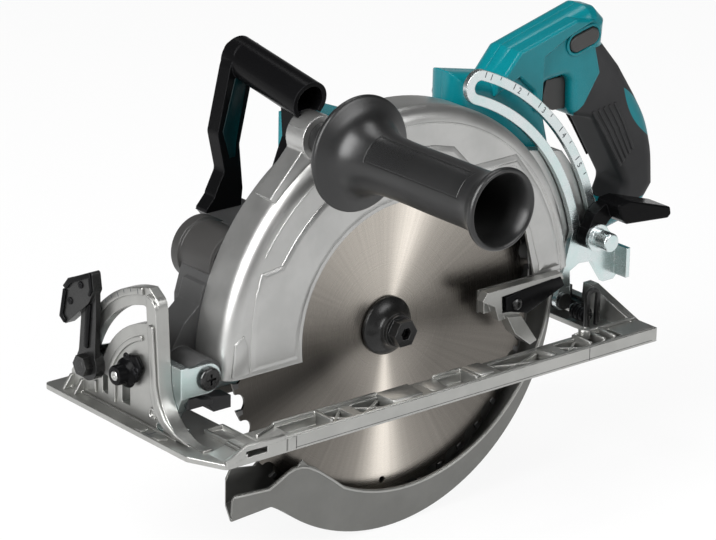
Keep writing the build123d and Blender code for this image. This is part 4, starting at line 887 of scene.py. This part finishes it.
class SAW_OT_bevel_arc(Operator):
    """Raised bands, bead, screw boss, ribs and degree lines of the bevel arc"""
    bl_idname = "saw.bevel_arc"
    bl_label = "Bevel arc"

    def execute(self, context):
        trim = context.scene.saw_trim
        centre, face = (0, 6), 186.8
        bead = [(-2.1, 75), (1.2, 36), (4.6, 24), (10.8, 15.4), (22, 9.2), (38, 5.8),
                (30, 5.8), (17, 8.4), (6.6, 13.6), (0.2, 22.6), (-3.4, 36), (-6.9, 75.5)]
        forms = [
            slab("band", arc_band(centre, 87.2, 92.2, 101, 166, 26), "X", face, 188.5, 0.6),
            slab("band", arc_band(centre, 57, 60.6, 108, 158, 20), "X", face, 188.4, 0.6),
            slab("bead", bead, "X", 189.8, 191.6, 0.9, 3),
            turned("boss", [(4.4, 0), (4.1, 1.5), (2.4, 1.6), (2.1, 0.2), (0, 0.2)],
                   (face + 0.2, -7.1, 13.4), "X", 32),
            strip("rib", (-48.5, 8), (-48.5, 27), 2.2, "X", face, 188.6, 0.6),
            strip("rib", (-70, 8), (-70, 16.5), 2.2, "X", face, 188.6, 0.6),
        ]
        dress(joined(forms, "bevel_arc_forms"), "cast_alloy", "base")
        lines = []
        for step in range(12):
            angle = 104 + 5 * step
            inner = 88.2 if step % 3 == 0 else 89.6
            lines.append(strip("degree", polar(centre, inner, angle), polar(centre, 91.6, angle),
                               trim.tick_width / MM, "X", 188.46, 188.56))
        dress(joined(lines, "bevel_degree_lines"), "scale_ink", "base")
        return {"FINISHED"}


class SAW_OT_stop_knob(Operator):
    """Bevel stop: a rounded plate with two studs, a barrel and a bright screw in its end"""
    bl_idname = "saw.stop_knob"
    bl_label = "Bevel stop"

    def execute(self, context):
        y, z = -28, 38
        barrel_axis = (y - 3, z - 3)
        corners = [(-6.7, 8.3), (6.4, 11.3), (12.5, 4.5), (6.3, -7.4), (-5.8, -11.2), (-12.7, -5.7)]
        barrel = [(0, 0), (10.2, 0.2), (9.6, 1.4), (7.8, 2.6), (6.9, 4.2), (6.6, 9.2), (6, 10.2),
                  (3.9, 10.4), (3.7, 9.4), (0, 9.4)]
        stud = [(2.7, 0), (2.4, 0.9), (1.3, 1), (1.1, 0.3), (0, 0.3)]
        parts = [slab("plate", [(y + a, z + b) for a, b in corners], "X", 187.4, 190.8, 1.2, 3),
                 turned("barrel", barrel, (190.6, *barrel_axis), "X", 48)]
        for a, b in ((-3.2, 8.2), (7.6, 0.8)):
            parts.append(turned("stud", stud, (190.7, y + a, z + b), "X", 24))
        dress(joined(parts, "stop_knob_body"), "black_plastic", "stop_knob", replaced=("stop_knob",))
        head = [(3.5, -0.6), (3.4, 0.7), (2.8, 1.2), (1.5, 1.2), (1.3, 0.4), (0, 0.4)]
        screw = turned("stop_knob_screw", head, (200, *barrel_axis), "X", 32)
        dress(screw, "machined_steel", "stop_knob")
        return {"FINISHED"}


class SAW_OT_bevel_paddle(Operator):
    """Rib, turned lips and studs of the bevel clamp lever"""
    bl_idname = "saw.bevel_paddle"
    bl_label = "Bevel lever"

    def execute(self, context):
        face = 196.9
        forms = [strip("rib", (-70.5, 41), (-66.5, 73), 5, "X", 194, 196, 0.9)]
        upper = [(-90.5, 79), (-84.5, 86), (-60.6, 96.4), (-60.4, 93), (-82, 83), (-87, 77.4)]
        left = [(-90, 52.8), (-95.4, 56.4), (-90.8, 77), (-87.6, 76), (-91.6, 58.4), (-88.2, 56)]
        right = [(-60.4, 96), (-58.4, 84.4), (-61.4, 79.4), (-63.2, 80.6), (-61.4, 85), (-63.2, 94.6)]
        for lip, top in ((upper, 199.2), (left, 198.8), (right, 198.8)):
            forms.append(slab("lip", lip, "X", face, top, 0.7))
        stud = [(2.6, 0), (2.3, 0.9), (1.2, 1), (1, 0.3), (0, 0.3)]
        for place in ((-72, 84.5), (-84, 70)):
            forms.append(turned("stud", stud, (face + 0.3, *place), "X", 24))
        dress(joined(forms, "bevel_paddle_forms"), "black_plastic", "bevel_lever")
        return {"FINISHED"}


class SAW_OT_guard_face(Operator):
    """Raised face panel, rim lip, fold and tab of the upper guard"""
    bl_idname = "saw.guard_face"
    bl_label = "Guard face"

    def execute(self, context):
        window, window_radius = (0, 42), 86
        step, outside, inside = 126, 139, 119.5
        outer = [(126, 34), (125.4, 50), (124.8, 66), (122.2, 84), (117, 100), (101, 102)]
        outer += [polar(GUARD_CENTRE, step, a) for a in (34, 40, 46, 52, 60, 68, 76, 84, 92, 100, 108)]
        outer += [(-61, 138.2), (-101, 138.6)]
        outer += [polar(GUARD_CENTRE, outside, a) for a in (140, 148, 157, 166, 174)]
        inner = [(-125, 48.5), (-125, 54)]
        inner += [polar(GUARD_CENTRE, inside, a) for a in (157, 148, 138)] + [(-21, 127.5)]
        inner += [polar(window, window_radius, a) for a in (97, 88, 78, 68, 58, 48, 38, 28, 18, 8, 0)]
        inner.append((window_radius, 34))
        panel = raised_panel("guard_face_panel", outer + inner, "Y", 14.6, 15.3, border=3.6, rise=1.1)
        dress(panel, "guard_casting", "saw_body")

        fold = [(-68, 131), (-99, 131.4), (-113.5, 110), (-117.5, 112), (-101, 134.4), (-66, 134)]
        tab = [(127, 33), (127.4, 52), (131, 61), (138, 56), (140.5, 33)]
        folds = [slab("lip", arc_band(GUARD_CENTRE, 140.6, 142, 32, 176, 72), "Y", 14.2, 15.3, 0.35),
                 slab("fold", fold, "Y", 16, 16.6, 0.3),
                 slab("tab", tab, "Y", 13, 15.6, 0.7)]
        dress(joined(folds, "guard_face_folds"), "guard_casting", "saw_body")
        return {"FINISHED"}


class SAW_OT_handle_trim(Operator):
    """Grip ribs, button surround and screws of the rear handle"""
    bl_idname = "saw.handle_trim"
    bl_label = "Handle trim"

    def execute(self, context):
        ribs = []
        count, width = 5, 2.6
        for low, high in ((-23.4, -22.1), (-57.9, -56.6)):
            for i in range(count):
                t = i / (count - 1)
                top = (-207.5 - 20.5 * t, 139 + 3 * t)
                knee = (-221 - 17 * t, 119 + 6 * t)
                foot = (-236.5 - 11.5 * t, 93.5 + 10.5 * t)
                ribs.append(strip("rib", top, knee, width, "Y", low, high, 0.6))
                ribs.append(strip("rib", knee, foot, width, "Y", low, high, 0.6))
        dress(joined(ribs, "grip_ribs"), "grip_rubber", "saw_body")

        surround = []
        button, length, width, lean = (-195, 194), 27, 12, -13.5
        for low, high in ((-23.2, -21.6), (-58.4, -56.8)):
            for half in (0, 180):
                outline = half_slot(button, length, width, 0.7, 2.9, lean + half)
                surround.append(slab("surround", outline, "Y", low, high, 0.5))
        dress(joined(surround, "button_surround"), "teal_plastic", "saw_body")

        head = [(5.4, 0.4), (5.2, -0.5), (4.2, -0.5), (4, 0.3), (3.6, 0.3), (3.4, -0.4), (1.7, -0.6),
                (1.5, 0.2), (0, 0.2)]
        screws = [turned("screw", head, (x, -57, z), "Y", 32)
                  for x, z in ((-92, 168), (-165, 185), (-120, 71), (-222, 55))]
        dress(joined(screws, "handle_screws"), "dark_screw", "saw_body")
        return {"FINISHED"}


class SAW_OT_front_handle_inlay(Operator):
    """Teal inlay on the far leg of the front handle, darkened as painted shade"""
    bl_idname = "saw.front_handle_inlay"
    bl_label = "Front handle inlay"

    def execute(self, context):
        outline = [(69, 203), (77, 204), (87, 169), (81, 150), (76.5, 150), (76, 160), (68, 198)]
        inlay = slab("front_handle_inlay", outline, "Y", -66.2, -65.5, 0.3)
        dress(inlay, "deep_inlay", "saw_body")
        return {"FINISHED"}


class SAW_OT_side_grip(Operator):
    """Side grip with a trumpet shaped disc and a rolled mouth"""
    bl_idname = "saw.side_grip"
    bl_label = "Side grip"

    def execute(self, context):
        outside = [(11, 29), (15, 33), (25, 39.5), (35.6, 44.4), (38, 46.6), (38.6, 48.6), (37.8, 50.4),
                   (34.4, 52), (29.4, 54.6), (25.2, 59), (22.2, 66), (20.4, 75), (19.4, 88), (19.2, 105),
                   (19.4, 125), (19.4, 145), (19.4, 160), (20, 168), (21.6, 174), (24, 178.4), (26, 181.4),
                   (26.5, 183.4), (26, 185.2), (24.8, 185.9), (23.4, 185.3), (21.4, 182), (19.4, 176.5),
                   (17.8, 168), (16.6, 152), (14.2, 121)]
        bore, foot, floor = 5, 10, 120
        profile = [(bore, foot), (10.6, foot), (11, foot + 0.4)] + flowing(outside)
        profile += [(bore, floor), (bore, foot)]
        grip = turned("side_grip_body", profile, (65, 0, 180.2), "Y", 96)
        dress(grip, "side_grip", "saw_body", ("side_grip",))
        return {"FINISHED"}


class SAW_OT_motor_trim(Operator):
    """Screw bosses of the motor, and the panel and vents beside its controller"""
    bl_idname = "saw.motor_trim"
    bl_label = "Motor trim"

    def execute(self, context):
        centre, radius = (-16.5, 57.6), 42.6
        boss = [(0, -92), (4.4, -93.5), (5.2, -96), (5.2, -124), (4.6, -125), (0, -125)]
        head = [(3.4, -124.6), (3.3, -125.9), (2.7, -126.4), (1.7, -126.4), (1.5, -125.4), (0, -125.4)]
        bosses, heads = [], []
        for angle in (35, 145, 215, 325):
            x, z = polar(centre, radius, angle)
            bosses.append(turned("boss", boss, (x, 0, z), "Y", 32))
            heads.append(turned("head", head, (x, 0, z), "Y", 24))
        panel = [(-63, 104), (5, 104), (5, 134), (-58, 134), (-63, 129)]
        bosses.append(raised_panel("panel", panel, "Y", -91.6, -92.4, border=2.6, rise=1))
        dress(joined(bosses, "motor_bosses"), "teal_plastic", "saw_body")
        dress(joined(heads, "motor_screws"), "dark_screw", "saw_body")
        vents = [strip("vent", (x, 110), (x + 5, 128), 2.6, "Y", -93, -93.6, 0.2)
                 for x in range(-54, -4, 9)]
        dress(joined(vents, "motor_vents"), "black_plastic", "saw_body")
        return {"FINISHED"}


class SAW_OT_lower_guard_edge(Operator):
    """Rolled edge round the opening of the lower guard, in the paler lever finish as a painted highlight line
    """
    bl_idname = "saw.lower_guard_edge"
    bl_label = "Lower guard edge"

    def execute(self, context):
        width = 1.7
        path = [(135, -52.3), (105.6, -54.4), (97.6, -50.6), (90, -46.6), (84, -45.2), (78, -45.4),
                (72, -47.2), (63, -52.6), (50, -62.6)]
        path += [polar((-15.5, 42), 125.5, a) for a in range(-63, -177, -3)]
        inside = []
        for i, here in enumerate(path):
            run = (Vector(path[min(i + 1, len(path) - 1)]) - Vector(path[max(i - 1, 0)])).normalized()
            inside.append(Vector(here) + Vector((-run.y, run.x)) * width)
        edge = slab("lower_guard_edge", path + inside[::-1], "Y", 10.8, 11.7, 0.35)
        # The paler lever finish paints a highlight along the rolled edge
        dress(edge, "lever_steel", "lower_guard")
        return {"FINISHED"}


class SAW_OT_guard_lever(Operator):
    """Dark inlay and screw of the lower guard's lever"""
    bl_idname = "saw.guard_lever"
    bl_label = "Guard lever"

    def execute(self, context):
        outline = [(-88, 40.6), (-102.4, 43.4), (-138, 45.2), (-142, 38), (-107.9, 24.9), (-88.6, 30.4)]
        inlay = slab("guard_lever_inlay", outline, "Y", 18.6, 24.5, 0.6)
        dress(inlay, "black_plastic", "lower_guard")
        head = [(4.2, 0), (4, 1.3), (2.9, 2), (1.9, 2), (1.7, 0.8), (0, 0.8)]
        screw = turned("guard_lever_screw", head, (-97.5, 24.3, 34), "Y", 32)
        dress(screw, "dark_screw", "lower_guard")
        return {"FINISHED"}


class SAW_OT_blade_tips(Operator):
    """Brazed tips on the teeth of the blade"""
    bl_idname = "saw.blade_tips"
    bl_label = "Blade tips"

    def execute(self, context):
        arbor = (0, ARBOR.z)
        teeth = 40
        step = 360 / teeth
        corners = ((129.9, 0.42), (125.2, 0.365), (125.4, 0.20), (129.1, 0.20))
        outline = [polar(arbor, radius, turn * step) for radius, turn in corners]
        first = slab("tip", outline, "Y", -1.25, 1.25, 0.12, 1)
        tips = [first] + [copy_of(first, "tip", tilt_matrix(ARBOR, "Y", -step * i)) for i in range(1, teeth)]
        dress(joined(tips, "blade_tips"), "carbide", "spindle")
        return {"FINISHED"}


class SAW_OT_arbor_dish(Operator):
    """Dished outer flange under the blade bolt"""
    bl_idname = "saw.arbor_dish"
    bl_label = "Arbor dish"

    def execute(self, context):
        profile = [(5.3, 0.9), (19.4, 0.9), (20.4, 1.6), (20.4, 3.2), (19.8, 4.2), (16, 6.6), (12.6, 9.2),
                   (11.8, 11), (11.4, 12.6), (10.8, 12.9), (5.3, 12.9), (5.3, 0.9)]
        dish = turned("arbor_dish", profile, ARBOR, "Y", 96)
        dress(dish, "black_steel", "spindle", replaced=("outer_flange",))
        return {"FINISHED"}


class SAW_OT_rear_stop(Operator):
    """Knurled nut and upright eye at the rear of the base"""
    bl_idname = "saw.rear_stop"
    bl_label = "Rear stop"

    def execute(self, context):
        profile = [(0, 10.8), (3, 10.8)]
        for i in range(3):
            start = 11.2 + 4.7 * i
            profile += [(4.6, start), (5.6, start + 0.5), (5.6, start + 2.9), (4.6, start + 3.4),
                        (3.6, start + 3.7)]
        profile += [(3, 26.2), (0, 26.4)]
        nut = turned("rear_stop_nut", profile, (-164.5, 0, 10.4), "Y", 20)
        dress(nut, "black_plastic", "base")
        middle, outside, hole = (-166, 25), 6.6, 3.4
        eye = [polar(middle, outside, a) for a in range(0, 181, 15)]
        eye += [(-172.6, SOLE), (-168.8, SOLE), (-168.8, 14)]
        eye += [polar(middle, hole, a) for a in range(200, -21, -20)]
        eye += [(-163.2, 14), (-163.2, SOLE), (-159.4, SOLE)]
        post = slab("rear_stop_eye", eye, "Y", 25.9, 29.2, 0.7)
        dress(post, "black_steel", "base")
        return {"FINISHED"}


class SAW_PT_panel(Panel):
    """Buttons and values for the saw"""
    bl_idname = "SAW_PT_panel"
    bl_label = "Saw"
    bl_space_type = "VIEW_3D"
    bl_region_type = "UI"
    bl_category = "Saw"

    def draw(self, context):
        for group in (context.scene.saw_colours, context.scene.saw_trim, context.scene.saw_stage):
            for name in group.__annotations__:
                self.layout.prop(group, name)
        for operator in OPERATORS:
            self.layout.operator(operator.bl_idname)


GROUPS = (SawColours, SawStage, SawTrim)
OPERATORS = (
    SAW_OT_finishes,
    SAW_OT_stage,
    SAW_OT_depth_scale,
    SAW_OT_base_rail,
    SAW_OT_base_front,
    SAW_OT_bevel_arc,
    SAW_OT_stop_knob,
    SAW_OT_bevel_paddle,
    SAW_OT_guard_face,
    SAW_OT_handle_trim,
    SAW_OT_front_handle_inlay,
    SAW_OT_side_grip,
    SAW_OT_motor_trim,
    SAW_OT_lower_guard_edge,
    SAW_OT_guard_lever,
    SAW_OT_blade_tips,
    SAW_OT_arbor_dish,
    SAW_OT_rear_stop,
)


def register():
    for cls in GROUPS + OPERATORS + (SAW_PT_panel,):
        bpy.utils.register_class(cls)
    bpy.types.Scene.saw_colours = PointerProperty(type=SawColours)
    bpy.types.Scene.saw_stage = PointerProperty(type=SawStage)
    bpy.types.Scene.saw_trim = PointerProperty(type=SawTrim)


def unregister():
    del bpy.types.Scene.saw_colours
    del bpy.types.Scene.saw_stage
    del bpy.types.Scene.saw_trim
    for cls in reversed(GROUPS + OPERATORS + (SAW_PT_panel,)):
        bpy.utils.unregister_class(cls)


def main():
    register()
    for operator in OPERATORS:
        group, name = operator.bl_idname.split(".")
        getattr(getattr(bpy.ops, group), name)()
    clear_selection()


if __name__ == "__main__":
    main()
